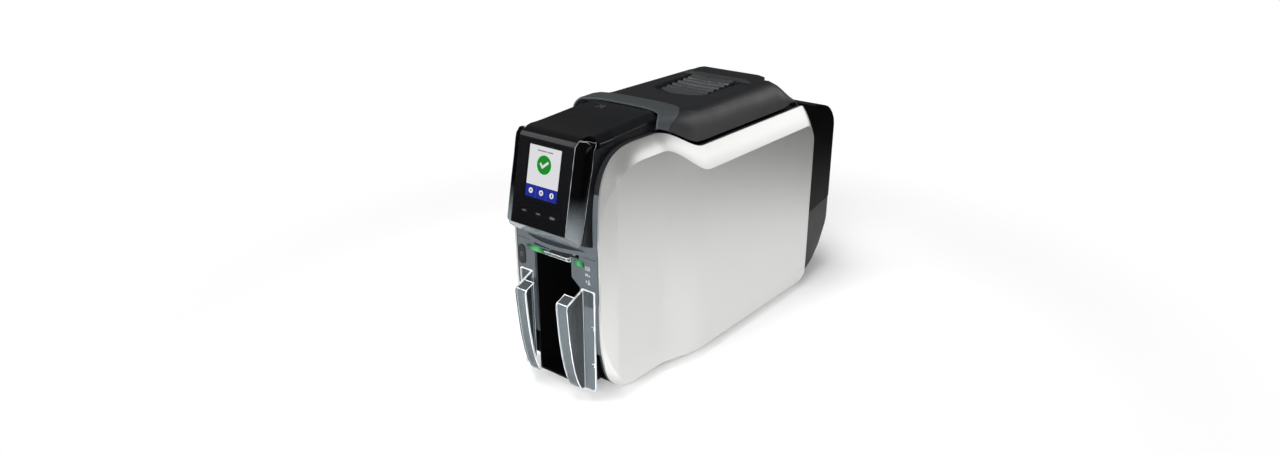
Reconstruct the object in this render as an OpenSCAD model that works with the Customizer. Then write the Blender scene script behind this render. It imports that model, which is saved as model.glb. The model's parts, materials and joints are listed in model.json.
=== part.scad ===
// Desk-top card printer with a display door, a hinged top cover and a card
// turn-over station at the back. Millimetres, +Z up, front towards -Y.
// Every piece is drawn from the fascia plane (y = 0) and moved by placed().

/* [Overall] */
// Height over the top cover
height = 270; // [255:1:290]
// Width over the side panels at the back
rear_w = 155; // [150:1:166]
// Width over the side panels at the front
front_w = 129; // [127:1:132]
// Depth from the fascia to the back edge of the side panels
body_depth = 370; // [340:1:420]
// How far the output wings stand out of the fascia
wing_reach = 24; // [20:1:30]
// How far the rear cover stands out behind the side panels
rear_reach = 58; // [54:1:66]

/* [Side panels] */
// How far the face of a panel stands out from its rim
panel_bulge = 12.5; // [9:0.5:14]
// Wall of a panel
panel_wall = 2.4; // [1.8:0.2:3]
// Rim of a panel, measured square to the face
panel_lip = 2; // [1.5:0.5:3]
// Drop of the rim's front shoulder below the top of the cover
shoulder_drop = 17; // [14:1:22]
// Drop of the rim along the back below the top of the cover
valley_drop = 40; // [34:1:44]
// Where the panels begin to swell outwards
swell_start = 78; // [70:1:90]
// Length of that swelling
swell_len = 58; // [45:1:70]

/* [Housing] */
// Wall of the moulded housings
wall = 2.5; // [2:0.5:3]
// Height of the rubber feet
foot_h = 4; // [3:0.5:6]
// Radius of the rubber feet
foot_r = 8; // [6:0.5:10]
// Thickness of the front fascia
fascia_t = 3; // [2.5:0.5:4]
// Gap between neighbouring shells
seam = 0.3; // [0.2:0.1:0.5]
// Half the width of the head block
head_x = 46; // [44:1:46]
// Height of the line that cards run along
path_z = 148; // [144:1:152]

/* [Cards] */
// Length of a card
card_l = 85.6; // [85.6:0.1:85.6]
// Width of a card
card_w = 54; // [54:0.1:54]
// Room beside a card in its hoppers
card_room = 2; // [1:0.5:3]

/* [Output bay] */
// Height of the bay's floor
bay_z = 8; // [7:1:12]
// Height of the bay's mouth
bay_h = 110; // [100:1:112]
// Wall of the clear wings
wing_wall = 1.6; // [1.2:0.2:2]
// Width of the strip that turns in across the mouth
wing_strip = 14; // [10:1:16]

/* [Front door] */
// How far the door leans back, in degrees
door_tilt = 12; // [10:0.5:14]
// Half the width of its flat face
door_face_x = 34; // [32:1:36]
// Width of the display's picture
lcd_w = 37; // [34:0.5:40]
// Height of the display's picture
lcd_h = 50; // [46:0.5:52]
// Length of a menu button
key_l = 9; // [7:0.5:11]
// Height of a menu button
key_h = 3.2; // [2.6:0.2:4]
// Spacing of the menu buttons
key_pitch = 17.5; // [15:0.5:19]

/* [Power button] */
// Width of the power button
power_w = 9; // [8:0.5:9]
// Length of the power button
power_l = 20; // [16:0.5:22]

/* [Card drive] */
// Radius of the platen
platen_r = 7.5; // [7:0.5:8]
// Radius of the transport rollers
roller_r = 6; // [5.5:0.5:6.5]
// Radius of every roller shaft
shaft_r = 2.5; // [2:0.5:3]
// Wall of the shaft bushes
bush_wall = 1.8; // [1.5:0.1:2.5]
// Running clearance of the shafts in their bushes
shaft_play = 0.05; // [0.03:0.01:0.08]
// Gear module
gear_m = 1; // [0.8:0.1:1]
// Teeth on the platen gear
platen_teeth = 30; // [30:2:30]
// Teeth on the transport roller gears
roller_teeth = 24; // [24:2:24]
// Teeth on the idlers
idler_teeth = 16; // [16:1:18]
// Teeth on the motor pinion
pinion_teeth = 12; // [12:1:12]
// Face width of the gears
gear_t = 4; // [3:0.5:5]
// Distance of the platen behind the fascia
platen_y = 205; // [195:1:215]

/* [Ribbon] */
// Radius of the full supply roll
supply_r = 19; // [15:1:20]
// Radius of the take-up roll
takeup_r = 12; // [9:1:13]
// Radius of the spool cores
core_r = 7; // [6:0.5:8]

/* [Rear station] */
// Radius that the turning table sweeps
flip_r = 43; // [43:0.5:44]
// Half the width of the rear cover
rear_x = 69; // [66:1:70]
// Half the width of the reject bin
bin_x = 31; // [30:1:33]

/* [Hidden] */
$fn = 64;

total_depth = wing_reach + body_depth + rear_reach;
fascia_y = wing_reach - total_depth / 2;
front_face = front_w / 2;
rear_face = rear_w / 2;
front_rim = front_face - panel_bulge;
rear_rim = rear_face - panel_bulge;
shoulder_z = height - shoulder_drop;
valley_z = height - valley_drop;

// ---- curves that several pieces share ----
function clamp01(t) = min(1, max(0, t));
function smooth(t) = let (c = clamp01(t)) c * c * (3 - 2 * c);
function swell(y) = smooth((y - swell_start) / swell_len);
function rim_x(y) = front_rim + (rear_rim - front_rim) * swell(y);
// A rounded corner that rises from 0 at t = 0 to 1 at t = 1
function corner(t, p, k) = pow(1 - pow(1 - clamp01(t), p), k);

front_mid = 130;    // height where the front edge of the rim is upright
rear_mid = 94;      // height where the back edge of the rim is upright
floor_gap = 3;      // height of the panels' lower edge
front_top_l = 57;   // length of the rim's corner at the top of the front
front_low_l = 45;   // the same at the bottom of the front
rear_top_l = 34;    // the same at the top of the back
rear_low_l = 30;    // the same at the bottom of the back
tip = 0.05;         // the corners start this far in, so that the edge is upright

function rim_top(y) = let (
        wave = shoulder_z + (valley_z - shoulder_z) * smooth((y - 84) / 60),
        f = corner(max(y, tip) / front_top_l, 2.6, 0.189),
        r = corner(max(body_depth - y, tip) / rear_top_l, 2, 0.438))
    y < body_depth / 2 ? front_mid + (wave - front_mid) * f
                       : rear_mid + (wave - rear_mid) * r;
function rim_low(y) = let (
        f = corner(max(y, tip) / front_low_l, 2.2, 0.241),
        r = corner(max(body_depth - y, tip) / rear_low_l, 2, 0.36))
    y < body_depth / 2 ? front_mid + (floor_gap - front_mid) * f
                       : rear_mid + (floor_gap - rear_mid) * r;

// Stations along the body, closer together at both ends
stations = 52;
function station(i) = body_depth * (1 - cos(180 * i / stations)) / 2;

module placed() translate([0, fascia_y, 0]) children();
// Extrudes a (y, z) outline along x from x0 to x1
module along_x(x0, x1)
    translate([x0, 0, 0]) rotate([90, 0, 90]) linear_extrude(x1 - x0) children();
module mirrored() { children(); mirror([1, 0, 0]) children(); }
module x_rod(x0, x1, y, z, r)
    translate([x0, y, z]) rotate([0, 90, 0]) cylinder(r = r, h = x1 - x0);

// A closed shell between two grids of points; each grid runs row by row
module shell(outer, inner, rows, n) {
    m = rows * n;
    polyhedron(points = concat(outer, inner), faces = concat(
        [for (i = [0 : rows - 2]) for (j = [0 : n - 2]) let (a = i * n + j) each [
            [a, a + 1, a + n], [a + 1, a + n + 1, a + n],
            [m + a, m + a + n, m + a + 1], [m + a + 1, m + a + n, m + a + n + 1]]],
        [for (i = [0 : rows - 2]) let (a = i * n, b = a + n - 1) each [
            [a, a + n, m + a + n, m + a], [b, m + b, m + b + n, b + n]]],
        [for (j = [0 : n - 2]) let (b = m - n + j) each [
            [j, m + j, m + j + 1, j + 1], [b, b + 1, m + b + 1, m + b]]]));
}

// ---- side panels ----
band_top = [0, 0.1, 0.28, 0.5, 0.75, 1];
band_low = [0, 0.15, 0.4, 0.7, 1];
band_mid = [0.33, 0.67];
band_front = 15;    // width of the rolled band down the front
band_rear = 18;     // and down the back
band_under = 9;     // and along the bottom
function band_over(y) = 15 + 7 * swell(y);
function roll(t) = let (c = clamp01(t)) c * (1.4 - 0.4 * c);

function panel_rows(y) = let (
        lo = rim_low(y), hi = rim_top(y), h = hi - lo,
        bt = min(band_over(y), 0.4 * h), bl = min(band_under, 0.4 * h))
    concat([for (t = band_low) lo + t * bl],
        [for (t = band_mid) lo + bl + t * (h - bl - bt)],
        [for (i = [len(band_top) - 1 : -1 : 0]) hi - band_top[i] * bt]);
function panel_out(y, z) = rim_x(y) + panel_lip + (panel_bulge - panel_lip)
    * roll((rim_top(y) - z) / band_over(y)) * roll((z - rim_low(y)) / band_under)
    * roll((y + 1) / band_front) * roll((body_depth + 1 - y) / band_rear);
panel_n = len(band_low) + len(band_mid) + len(band_top);

module side_panel_shell() {
    outer = [for (i = [0 : stations]) let (y = station(i)) for (z = panel_rows(y))
        [panel_out(y, z), y, z]];
    inner = [for (i = [0 : stations]) let (y = station(i)) for (z = panel_rows(y))
        [max(rim_x(y), panel_out(y, z) - panel_wall), y, z]];
    n = panel_n;
    m = len(outer);
    last = stations * n;
    polyhedron(points = concat(outer, inner), faces = concat(
        [for (i = [0 : stations - 1]) for (j = [0 : n - 2]) each [
            [i * n + j, (i + 1) * n + j + 1, (i + 1) * n + j],
            [i * n + j, i * n + j + 1, (i + 1) * n + j + 1],
            [m + i * n + j, m + (i + 1) * n + j, m + (i + 1) * n + j + 1],
            [m + i * n + j, m + (i + 1) * n + j + 1, m + i * n + j + 1]]],
        [for (i = [0 : stations - 1]) for (e = [0, n - 1])
            let (a = i * n + e, b = a + n)
            e == 0 ? [a, b, m + b, m + a] : [b, a, m + a, m + b]],
        [for (e = [0, last]) for (j = [0 : n - 2])
            let (a = e + j, b = a + 1)
            e == 0 ? [b, a, m + a, m + b] : [a, b, m + b, m + a]]));
}
module side_panel_right() color("silver") placed() side_panel_shell();
module side_panel_left()
    color("silver") placed() mirror([1, 0, 0]) side_panel_shell();

// ---- base housing ----
hull_x = seam;                      // gap between the rim and the housing
cover_front = 84;                   // where the top cover's sides begin
cover_rear = body_depth - 20;       // where the top cover ends
base_front = fascia_t + seam;
base_rear = body_depth - seam;
floor_t = 4;                        // floor of the housing
function base_station(i, n) = base_front + (base_rear - base_front) * i / n;
module plan_outline(inset, y0, y1, n = 40) {
    ys = [for (i = [0 : n]) y0 + (y1 - y0) * i / n];
    polygon(concat([for (y = ys) [rim_x(y) - inset, y]],
        [for (i = [n : -1 : 0]) [-rim_x(ys[i]) + inset, ys[i]]]));
}
// The housing seen from the side, drawn in by inset
module side_outline(inset, n = 60) {
    ys = [for (i = [0 : n]) (base_front + inset)
        + (base_rear - base_front - 2 * inset) * (1 - cos(180 * i / n)) / 2];
    polygon(concat([for (y = ys) [y, max(foot_h, rim_low(y)) + inset]],
        [for (i = [n : -1 : 0]) [ys[i], rim_top(ys[i]) - inset]]));
}
station_z0 = path_z - flip_r - 6;   // opening to the rear station
station_z1 = path_z + flip_r + 6;
plate_x = 44;                       // inner face of the frame plates
plate_t = 1.5;
module base_housing() color([0.13, 0.13, 0.14]) placed() difference() {
    intersection() {
        linear_extrude(height) plan_outline(hull_x, base_front, base_rear);
        along_x(-rear_face, rear_face) side_outline(0);
    }
    // the inside, open at the top behind the head
    intersection() {
        translate([0, 0, foot_h + floor_t]) linear_extrude(height)
            plan_outline(hull_x + wall, base_front - 1, base_rear - wall);
        translate([-rear_face, base_front - 1, 0])
            cube([rear_w, base_rear - base_front - wall + 1, path_z + 12]);
    }
    translate([0, 0, path_z]) linear_extrude(height)
        plan_outline(hull_x + wall, cover_front, cover_rear);
    translate([-head_x - seam, -1, path_z]) cube([2 * (head_x + seam), cover_front + 2, height]);
    // the way through to the rear station
    translate([-plate_x - 4, base_rear - 30, station_z0])
        cube([2 * (plate_x + 4), 40, station_z1 - station_z0]);
    // the way into the reject bin
    translate([-bin_x + 1, base_rear - 30, 40]) cube([2 * bin_x - 2, 40, 40]);
    // room behind the power button
    translate([-front_rim, base_front - 1, power_z - power_l / 2 - 3]) cube([10, 9, power_l + 6]);
    // recesses that seat the feet
    for (x = [-1, 1]) for (y = foot_ys)
        translate([x * foot_x, y, -1]) cylinder(r = foot_r, h = foot_h + 1.5);
}
foot_x = front_rim - foot_r - 4;
foot_ys = [42, body_depth - 48];
module rubber_feet() color([0.08, 0.08, 0.08]) placed()
    for (x = [-1, 1]) for (y = foot_ys) translate([x * foot_x, y, 0]) {
        cylinder(r1 = foot_r - 1, r2 = foot_r, h = 1);
        translate([0, 0, 1]) cylinder(r = foot_r, h = foot_h - 0.5);
    }

// ---- front fascia ----
slot_z0 = path_z - 1.5;
slot_z1 = path_z + 4.3;             // top of the card slot
slot_x = card_w / 2 + card_room;
bay_x = card_w / 2 + card_room;
bay_top = bay_z + bay_h;
door_low = path_z + 15;             // lowest edge of the front door
power_x = -front_rim + seam + power_w / 2 + 1.2;
power_z = path_z - 16;
module pill(w, l, grow = 0) hull() for (s = [-1, 1])
    translate([0, s * (l - w) / 2]) circle(r = w / 2 + grow);
module bay_mouth(grow = 0) polygon([
    [-bay_x - grow, bay_z - grow], [bay_x + grow, bay_z - grow],
    [bay_x + grow, bay_top + grow], [bay_x - 10 + grow, bay_top + 8 + grow],
    [bay_x - 10 + grow, path_z - 7 + grow], [-bay_x - grow, path_z - 7 + grow]]);
pegs = [[front_rim - 6.5, 80], [front_rim - 6.5, 40]];     // (x, z) of the pegs that hold a wing
module front_fascia() color([0.1, 0.1, 0.11]) placed() {
    difference() {
        along_x(-front_rim + seam, front_rim - seam) polygon(concat(
            [for (i = [0 : 12]) let (y = fascia_t * pow(i / 12, 3)) [y, max(foot_h, rim_low(y))]],
            [for (i = [12 : -1 : 0]) let (y = fascia_t * pow(i / 12, 3)) [y, rim_top(y)]]));
        rotate([90, 0, 0]) translate([0, 0, -fascia_t - 1]) linear_extrude(fascia_t + 2) {
            bay_mouth();
            translate([-slot_x, slot_z0]) square([2 * slot_x, slot_z1 - slot_z0]);
            translate([-guide_x, path_z - 8]) square([guide_x + bay_x - 11, 8]);
            translate([-head_x - seam, door_low - seam]) square([2 * (head_x + seam), height]);
            translate([power_x, power_z]) pill(power_w, power_l, seam);
        }
        // groove beside the slot
        for (s = [-1, 1]) translate([s * (front_rim + 36) / 2 - 10, -1, path_z + 2]) cube([20, 1.6, 0.8]);
    }
    // bowed chin over the slot
    translate([0, 0, slot_z1]) linear_extrude(chin_h) intersection() {
        translate([0, chin_r - chin_bow]) circle(r = chin_r, $fn = 180);
        translate([-chin_r, -chin_bow - 1]) square([2 * chin_r, chin_bow + 1]);
    }
    for (s = [-1, 1]) for (p = pegs) translate([s * p[0], 0, p[1]]) rotate([90, 0, 0])
        cylinder(r = peg_r, h = wing_wall + 0.8);
}
peg_r = 1.4;
chin_h = 4;
chin_bow = 8;                       // how far the chin bows out
chin_r = 94;

// ---- output bay and its clear wings ----
bay_depth = card_l + 4;
liner_t = 1.6;
module bay_liner() color([0.07, 0.07, 0.08]) placed() difference() {
    translate([-bay_x - liner_t, base_front, foot_h + floor_t])
        cube([2 * (bay_x + liner_t), bay_depth + liner_t, path_z - 12 - foot_h - floor_t]);
    translate([-bay_x, base_front - 1, foot_h + floor_t + liner_t])
        cube([2 * bay_x, bay_depth + 1, height]);
}
wing_x = bay_x + wing_wall + 3.5;   // outer face of a wing
wing_curve = [[0, 10.5], [-4, 11], [-7, 13], [-9.5, 17], [-12.5, 24.5], [-15.5, 35], [-18.5, 50], [-21, 68],
    [-22.5, 84], [-wing_reach + 0.4, 98], [-wing_reach, 105]];
wing_top = 118;
module wing_side(inset) polygon(concat(
    [for (p = wing_curve) [min(0, p[0] + inset * 1.1), p[1] + inset * 0.6]],
    [[-wing_reach + 1.5 + inset, 108 + inset * 0.6], [0, wing_top + inset]]));
module wing() {
    along_x(wing_x - wing_wall, wing_x) wing_side(0);
    // the strip that turns in across the mouth
    difference() {
        along_x(wing_x - wing_strip, wing_x) wing_side(0);
        along_x(wing_x - wing_strip - 1, wing_x + 1) translate([wing_wall, 0]) wing_side(0);
        along_x(wing_x - wing_strip - 1, wing_x + 1)
            polygon([[-wing_reach - 1, 107], [1, 117], [1, height], [-wing_reach - 1, height]]);
        translate([0, -6, 0]) cube([wing_x + 1, 7, height]);
    }
    // the flange that screws to the fascia
    difference() {
        rotate([90, 0, 0]) linear_extrude(wing_wall) polygon([[wing_x - wing_wall, 10.5],
            [front_rim - 7, 11.5], [front_rim - 5, 13], [front_rim - 4, 16], [front_rim - 4, wing_top - 1],
            [front_rim - 5, wing_top], [wing_x - wing_wall, wing_top]]);
        for (p = pegs) translate([p[0], 1, p[1]]) rotate([90, 0, 0]) cylinder(r = peg_r, h = wing_wall + 2);
    }
}
module wing_right() color([0.8, 0.85, 0.88, 0.5]) placed() wing();
module wing_left() color([0.8, 0.85, 0.88, 0.5]) placed() mirror([1, 0, 0]) wing();

// ---- card slot ----
guide_x = 10;
module card_guide() color([0.75, 0.8, 0.82, 0.6]) placed()
    along_x(-guide_x, bay_x - 11) polygon([[0, path_z - 7], [-4, path_z - 5.5], [-6, path_z - 1.5],
        [-4.5, path_z - 1.5], [-2.5, path_z - 3], [8, path_z - 1], [8, path_z - 2.6], [0, path_z - 4.6]]);
module slot_light(x0, x1) along_x(x0, x1)
    polygon([[0, path_z - 8], [-1.2, path_z - 7.6], [-2.4, path_z - 4.6], [-1.4, path_z - 3.2], [0, path_z - 3]]);
module slot_light_left() color([0.1, 0.7, 0.25]) placed() slot_light(-slot_x - 8.5, -12);
module slot_light_right() color([0.1, 0.7, 0.25]) placed() slot_light(bay_x - 5, slot_x + 6);

// ---- power button ----
module power_button() color([0.16, 0.16, 0.17]) placed() rotate([90, 0, 0])
    translate([power_x, power_z, -fascia_t - 0.1]) {
        linear_extrude(fascia_t + 1.1) pill(power_w, power_l);
        translate([0, 0, -1.4]) linear_extrude(1.4) pill(power_w + 1.5, power_l + 1.5);
    }

// ---- head block and the card hopper in it ----
head_top = height - 2.5;            // top of the head at its back
head_rear = 102;                    // back of the head, under the collar
seam_y = 54;                        // where the door meets the head's top
head_slope = 4;                     // how much the head's top falls to the front
head_chamfer = 8;                   // width of the slanted edge along each side
head_drop = 4.5;                    // and its height
function head_z(y) = head_top - head_slope * clamp01((cover_front - y) / 60);
// (y, z) of the line where the visor meets the head, from the bottom up
door_back = [[-15, 171], [-12, 179], [-8, 197], [-4, 215], [2, height - 33], [5, height - 15], [12, height - 9]];
// One half of a cross-section of the head, from its foot to its middle
function head_half(y, inset, foot) = let (t = head_z(y) - inset, x = head_x - inset, c = head_chamfer)
    [[x, foot], [x, t - head_drop - 1.6], [x - 0.5, t - head_drop - 0.4], [x - 1.6, t - head_drop + 0.7],
     [x - c + 1.5, t - 0.9], [x - c - 0.6, t - 0.2], [x - c - 3, t], [8, t]];
function head_ring(y, inset, foot) = let (h = head_half(y, inset, foot), n = len(h))
    concat([for (p = h) [p[0], y, p[1]]], [for (i = [n - 1 : -1 : 0]) [-h[i][0], y, h[i][1]]]);
module head_arch(ys, inset, t, foot) shell(
    [for (y = ys) each head_ring(y, inset, foot)], [for (y = ys) each head_ring(y, inset + t, foot)],
    len(ys), 16);
// Where the door's top ends, in plan: a blunt point towards the back
module door_plan(grow) polygon([[-head_x - 5, -40], [head_x + 5, -40], [head_x + 5, seam_y - 25 + grow],
    [12, seam_y - 4.6 + grow], [5, seam_y - 0.9 + grow], [0, seam_y + grow], [-5, seam_y - 0.9 + grow],
    [-12, seam_y - 4.6 + grow], [-head_x - 5, seam_y - 25 + grow]]);
module head_housing() color([0.11, 0.11, 0.12]) placed() {
    difference() {
        head_arch([-20, 20, 40, 60, cover_front, head_rear], 0, wall, path_z + 4);
        // its front edge follows the visor
        along_x(-head_x - 1, head_x + 1) polygon(concat(
            [[base_front + seam, path_z], [base_front + seam, door_low], [-1, door_low], [-6, door_low + 2],
                [door_back[0][0] + 2.2, door_back[0][1] + 0.4]],
            [for (p = door_back) [p[0] + seam + 0.9, p[1] + 0.4]],
            [[13, height - 8.6], [13, height + 5], [-40, height + 5], [-40, path_z]]));
        translate([0, 0, height - 40]) linear_extrude(60) intersection() {
            door_plan(seam);
            translate([-head_x + wall + 1, -50]) square([2 * (head_x - wall - 1), 200]);
        }
        translate([0, 0, height - 16 - seam]) linear_extrude(60) door_plan(seam);
        translate([0, 0, height - 30]) linear_extrude(40) polygon(concat(
            [for (a = arch_a) let (p = cover_point(collar_front(a), a, -2.2)) [p[0], p[1] - seam - 0.4]],
            [[-rear_rim, head_rear + 20], [rear_rim, head_rear + 20]]));
    }
    // lugs that hold the door's pins
    for (s = [-1, 1]) difference() {
        union() {
            x_rod(s * (door_ear_x + 1.5) - 2.5, s * (door_ear_x + 1.5) + 2.5, door_axis[0], door_axis[1], door_pin_r + 1.8);
            translate([s * (door_ear_x + 1.5) - 2.5, door_axis[0], door_axis[1] - 1.5]) cube([5, 10, 5]);
            translate([s * (head_x + door_ear_x - 1) / 2 - (head_x - door_ear_x + 1) / 2, base_front + seam + 0.4, door_axis[1] - 1.5])
                cube([head_x - door_ear_x + 1, 4, 5]);
        }
        x_rod(-head_x, head_x, door_axis[0], door_axis[1], door_pin_r);
    }
}
hop_x = card_w / 2 + card_room;
hop_front = 8;
hop_rear = hop_front + card_l + 3;
hop_floor = path_z + 5;
hop_top = hop_floor + 82;
pick_y = 74;
module input_hopper() color([0.2, 0.2, 0.21]) placed() difference() {
    translate([-head_x + wall + seam, hop_front - 2, path_z + 4])
        cube([2 * (head_x - wall - seam), hop_rear - hop_front + 4, hop_top - path_z - 4]);
    translate([-hop_x, hop_front - 3, hop_floor + 1.6]) cube([2 * hop_x, hop_rear - hop_front + 3, height]);
    for (s = [-1, 1]) translate([s > 0 ? hop_x + 1.6 : -head_x, hop_front - 3, path_z + 6])
        cube([head_x - hop_x - 1.6, hop_rear - hop_front + 8, height]);
    // window for the pick roller and the gap that lets one card out
    translate([-16, pick_y - 8, path_z]) cube([32, 16, 20]);
    translate([-hop_x, hop_rear - 1, hop_floor + 1.6]) cube([2 * hop_x, 5, 1.2]);
}

// ---- front door: face, clear visor, display and menu buttons ----
door_y0 = -wing_reach;              // foremost line of the door
lip_z = door_low + 14;              // height of that line
face_top = height - 16;             // where the face begins to roll over
roll_y = 6;                         // where the roll meets the top
door_t = 2.5;
door_axis = [-3, path_z + 19];      // (y, z) of the door's hinge
door_pin_r = 2;
door_ear_x = 38;                    // middle of the lugs that hold the pins
function face_y(z) = door_y0 + (z - lip_z) * tan(door_tilt);
function door_outline(d) = concat(
    [[door_y0 + d, lip_z + 0.5], [face_y(face_top) + d, face_top - 0.5 * d]],
    [for (a = [15 : 15 : 75]) [
        face_y(face_top) + d + (roll_y - face_y(face_top) - d) * (1 - cos(a)),
        face_top - 0.5 * d + (head_z(10) - face_top - 0.5 * d) * sin(a)]],
    [[roll_y, head_z(10) - d], [18, head_z(18) - d]]);
function reversed(list) = [for (i = [len(list) - 1 : -1 : 0]) list[i]];
module on_face(z) translate([0, face_y(z), z]) rotate([90 - door_tilt, 0, 0]) children();
lcd_z = face_top - 2 - lcd_h / 2;
glass_w = lcd_w + 5;
glass_h = lcd_h + 6;
key_z = lip_z + 14;
door_rim = 13;                      // where the top reaches out over the visor
module front_door() color([0.14, 0.14, 0.15]) placed() difference() {
    union() {
        along_x(-door_face_x, door_face_x)
            polygon(concat(door_outline(0), reversed(door_outline(door_t))));
        intersection() {
            head_arch([door_rim, 20, 30, 40, seam_y + 2], 0, door_t, height - 16);
            linear_extrude(height + 5) door_plan(0);
        }
        // cheeks behind the face that reach down to the hinge
        for (s = [-1, 1]) along_x(s * (door_face_x - 1.5) - 1.5, s * (door_face_x - 1.5) + 1.5) polygon([
            [door_y0 + 1, lip_z + 2], [face_y(face_top) + 1, face_top - 4], [face_y(face_top) + 12, face_top - 4],
            [-4, lip_z + 14], [door_axis[0] + 4, door_axis[1] + 3], [door_axis[0] + 3.5, door_axis[1] - 3],
            [door_axis[0] - 2.5, door_axis[1] - 3.2], [door_y0 + 7, lip_z - 3]]);
    }
    x_rod(-head_x, head_x, door_axis[0], door_axis[1], door_pin_r + shaft_play);
    on_face(lcd_z) translate([0, 0, -8]) linear_extrude(10)
        square([glass_w + 2 * seam, glass_h + 2 * seam], center = true);
    for (i = [-1 : 1]) on_face(key_z) translate([i * key_pitch, 0, -8]) linear_extrude(10)
        rotate(90) pill(key_h, key_l, 0.2);
}
lens_t = 2;
lens_rows = [for (i = [0 : 22]) door_low + 0.5 + (head_z(10) - 2.2 - door_low) * i / 22];
function lens_front(z) = z < lip_z ? -9 + (door_y0 + 9) * (z - door_low) / (lip_z - door_low)
    : z < face_top ? face_y(z)
    : face_y(face_top) + (roll_y - face_y(face_top)) * (1 - cos(asin(clamp01((z - face_top) / (head_z(10) - face_top)))));
function lens_back(z) = lookup(z, [for (p = door_back) [p[1], p[0]]]);
lens_n = 10;
// The lower edge rises towards the sides, and the upper edge falls with the head's
function lens_point(row, j, d) = let (a = 90 * j / lens_n, x0 = door_face_x + 0.3,
        x = x0 + (head_x - d - x0) * sin(a),
        z = row + 7.5 * pow(sin(a), 2) * clamp01((lip_z + 14 - row) / 27)
            - head_drop * pow(clamp01((x - head_x + 4.5) / 4.5), 1.3) * clamp01((row - face_top + 14) / 20),
        yf = lens_front(z) + d, yb = lens_back(z))
    [x, yb + (yf - yb) * cos(a), z];
module lens_side() shell(
    [for (z = lens_rows) for (j = [lens_n : -1 : 0]) lens_point(z, j, 0)],
    [for (z = lens_rows) for (j = [lens_n : -1 : 0]) lens_point(z, j, lens_t)],
    len(lens_rows), lens_n + 1);
module visor_lens() color([0.1, 0.1, 0.12, 0.8]) placed() {
    mirrored() lens_side();
    along_x(-door_face_x - 0.6, door_face_x + 0.6) polygon([
        [lens_front(door_low + 0.5), door_low + 0.5], [door_y0, lip_z],
        [door_y0 + lens_t, lip_z], [lens_front(door_low + 0.5) + lens_t + 0.6, door_low + 0.5]]);
}
module display_module() color([0.2, 0.4, 0.25]) placed() on_face(lcd_z) {
    translate([0, 0, -5.4]) linear_extrude(3.6) square([glass_w - 1, glass_h - 1], center = true);
    translate([-glass_w / 2 - 4, -glass_h / 2 - 18, -7.2]) cube([glass_w + 8, glass_h + 18, 1.8]);
}
module display_glass() color([0.05, 0.05, 0.06]) placed() on_face(lcd_z)
    translate([0, 0, -1.8]) linear_extrude(1.6) square([glass_w, glass_h], center = true);
module menu_button(i) color([0.3, 0.3, 0.31]) placed() on_face(key_z) translate([i * key_pitch, 0, 0]) {
    translate([0, 0, -2.6]) linear_extrude(3.2) rotate(90) pill(key_h, key_l);
    translate([0, 0, -3.6]) linear_extrude(1) rotate(90) pill(key_h + 1.6, key_l + 1.6);
}
module menu_button_left() menu_button(-1);
module menu_button_middle() menu_button(0);
module menu_button_right() menu_button(1);

// ---- top cover ----
cover_e = 0.56;                     // how square the cover's shoulders are
plateau_z = height - 4.5;
plateau_end = body_depth - 82;
function cover_half(y) = rim_x(y) - 1.6 - 6 * smooth((y - cover_rear + 50) / 36);
function cover_base(y) = rim_top(y) + 3.2;
function cover_slope(y) = clamp01((y - plateau_end) / (cover_rear - plateau_end));
// height of the flat on top, and of the arch that it cuts
function cover_level(y) = plateau_z + 2 * smooth((150 - y) / 40)
    - (plateau_z - cover_base(cover_rear) - 4) * pow(cover_slope(y), 1.3);
function cover_apex(y) = cover_level(y) + 6 - 5 * cover_slope(y);
function cover_point(y, a, d) = [
    (cover_half(y) - d) * sign(cos(a)) * pow(abs(cos(a)), cover_e), y,
    min(cover_level(y) - d, cover_base(y) + (cover_apex(y) - d - cover_base(y)) * pow(sin(a), cover_e))];
arch_n = 28;
// angles round the arch, closer together at its shoulders
function arch(j) = 90 - 90 * cos(180 * j / arch_n);
arch_a = [for (j = [0 : arch_n]) j == 0 ? 0 : j == arch_n ? 180 : arch(j)];
function collar_front(a) = cover_front + 2 + 18 * pow(sin(a), 1.5);
function collar_back(a) = cover_front + 16 + 34 * pow(sin(a), 1.2);
cover_rows = 24;
cover_end = cover_rear - 1.5;
cover_ys = [for (i = [0 : cover_rows - 1]) pow(i / (cover_rows - 1), 0.85)];
function cover_y(i, a) = let (y0 = collar_front(a) + 5) y0 + (cover_end - y0) * cover_ys[i];
tab_x = 27;                         // half the width of the release tab
tab_front = 190;
pan_front = 178;                    // the sunk pan round the tab
pan_x = 34;
pan_depth = 5;
crown_y = 262;                      // front of the raised block behind it
module pan(grow, z0, z1) translate([0, 0, z0]) linear_extrude(z1 - z0) polygon(concat(
    [for (a = [180 : 15 : 360]) [(pan_x + grow) * cos(a), pan_front + 20 + (20 + grow) * sin(a)]],
    [[pan_x + grow, crown_y + grow], [-pan_x - grow, crown_y + grow]]));
module top_cover() color([0.22, 0.22, 0.23]) placed() {
    difference() {
        shell([for (i = [0 : cover_rows - 1]) for (a = arch_a) cover_point(cover_y(i, a), a, 0)],
            [for (i = [0 : cover_rows - 1]) for (a = arch_a) cover_point(cover_y(i, a), a, wall)],
            cover_rows, arch_n + 1);
        pan(0, plateau_z - 12, height);
    }
    difference() {
        pan(wall, plateau_z - pan_depth - wall, plateau_z - 1.5);
        pan(0, plateau_z - pan_depth, height);
    }
    // lugs for the tab's pins
    for (s = [-1, 1]) difference() {
        translate([s * (tab_x + 2.5) - 2, crown_y - 5, plateau_z - pan_depth]) cube([4, 5, pan_depth]);
        x_rod(-pan_x, pan_x, tab_axis[0], tab_axis[1], tab_pin_r + shaft_play);
    }
}
crown_x = 47;                       // half its width at its foot
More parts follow.
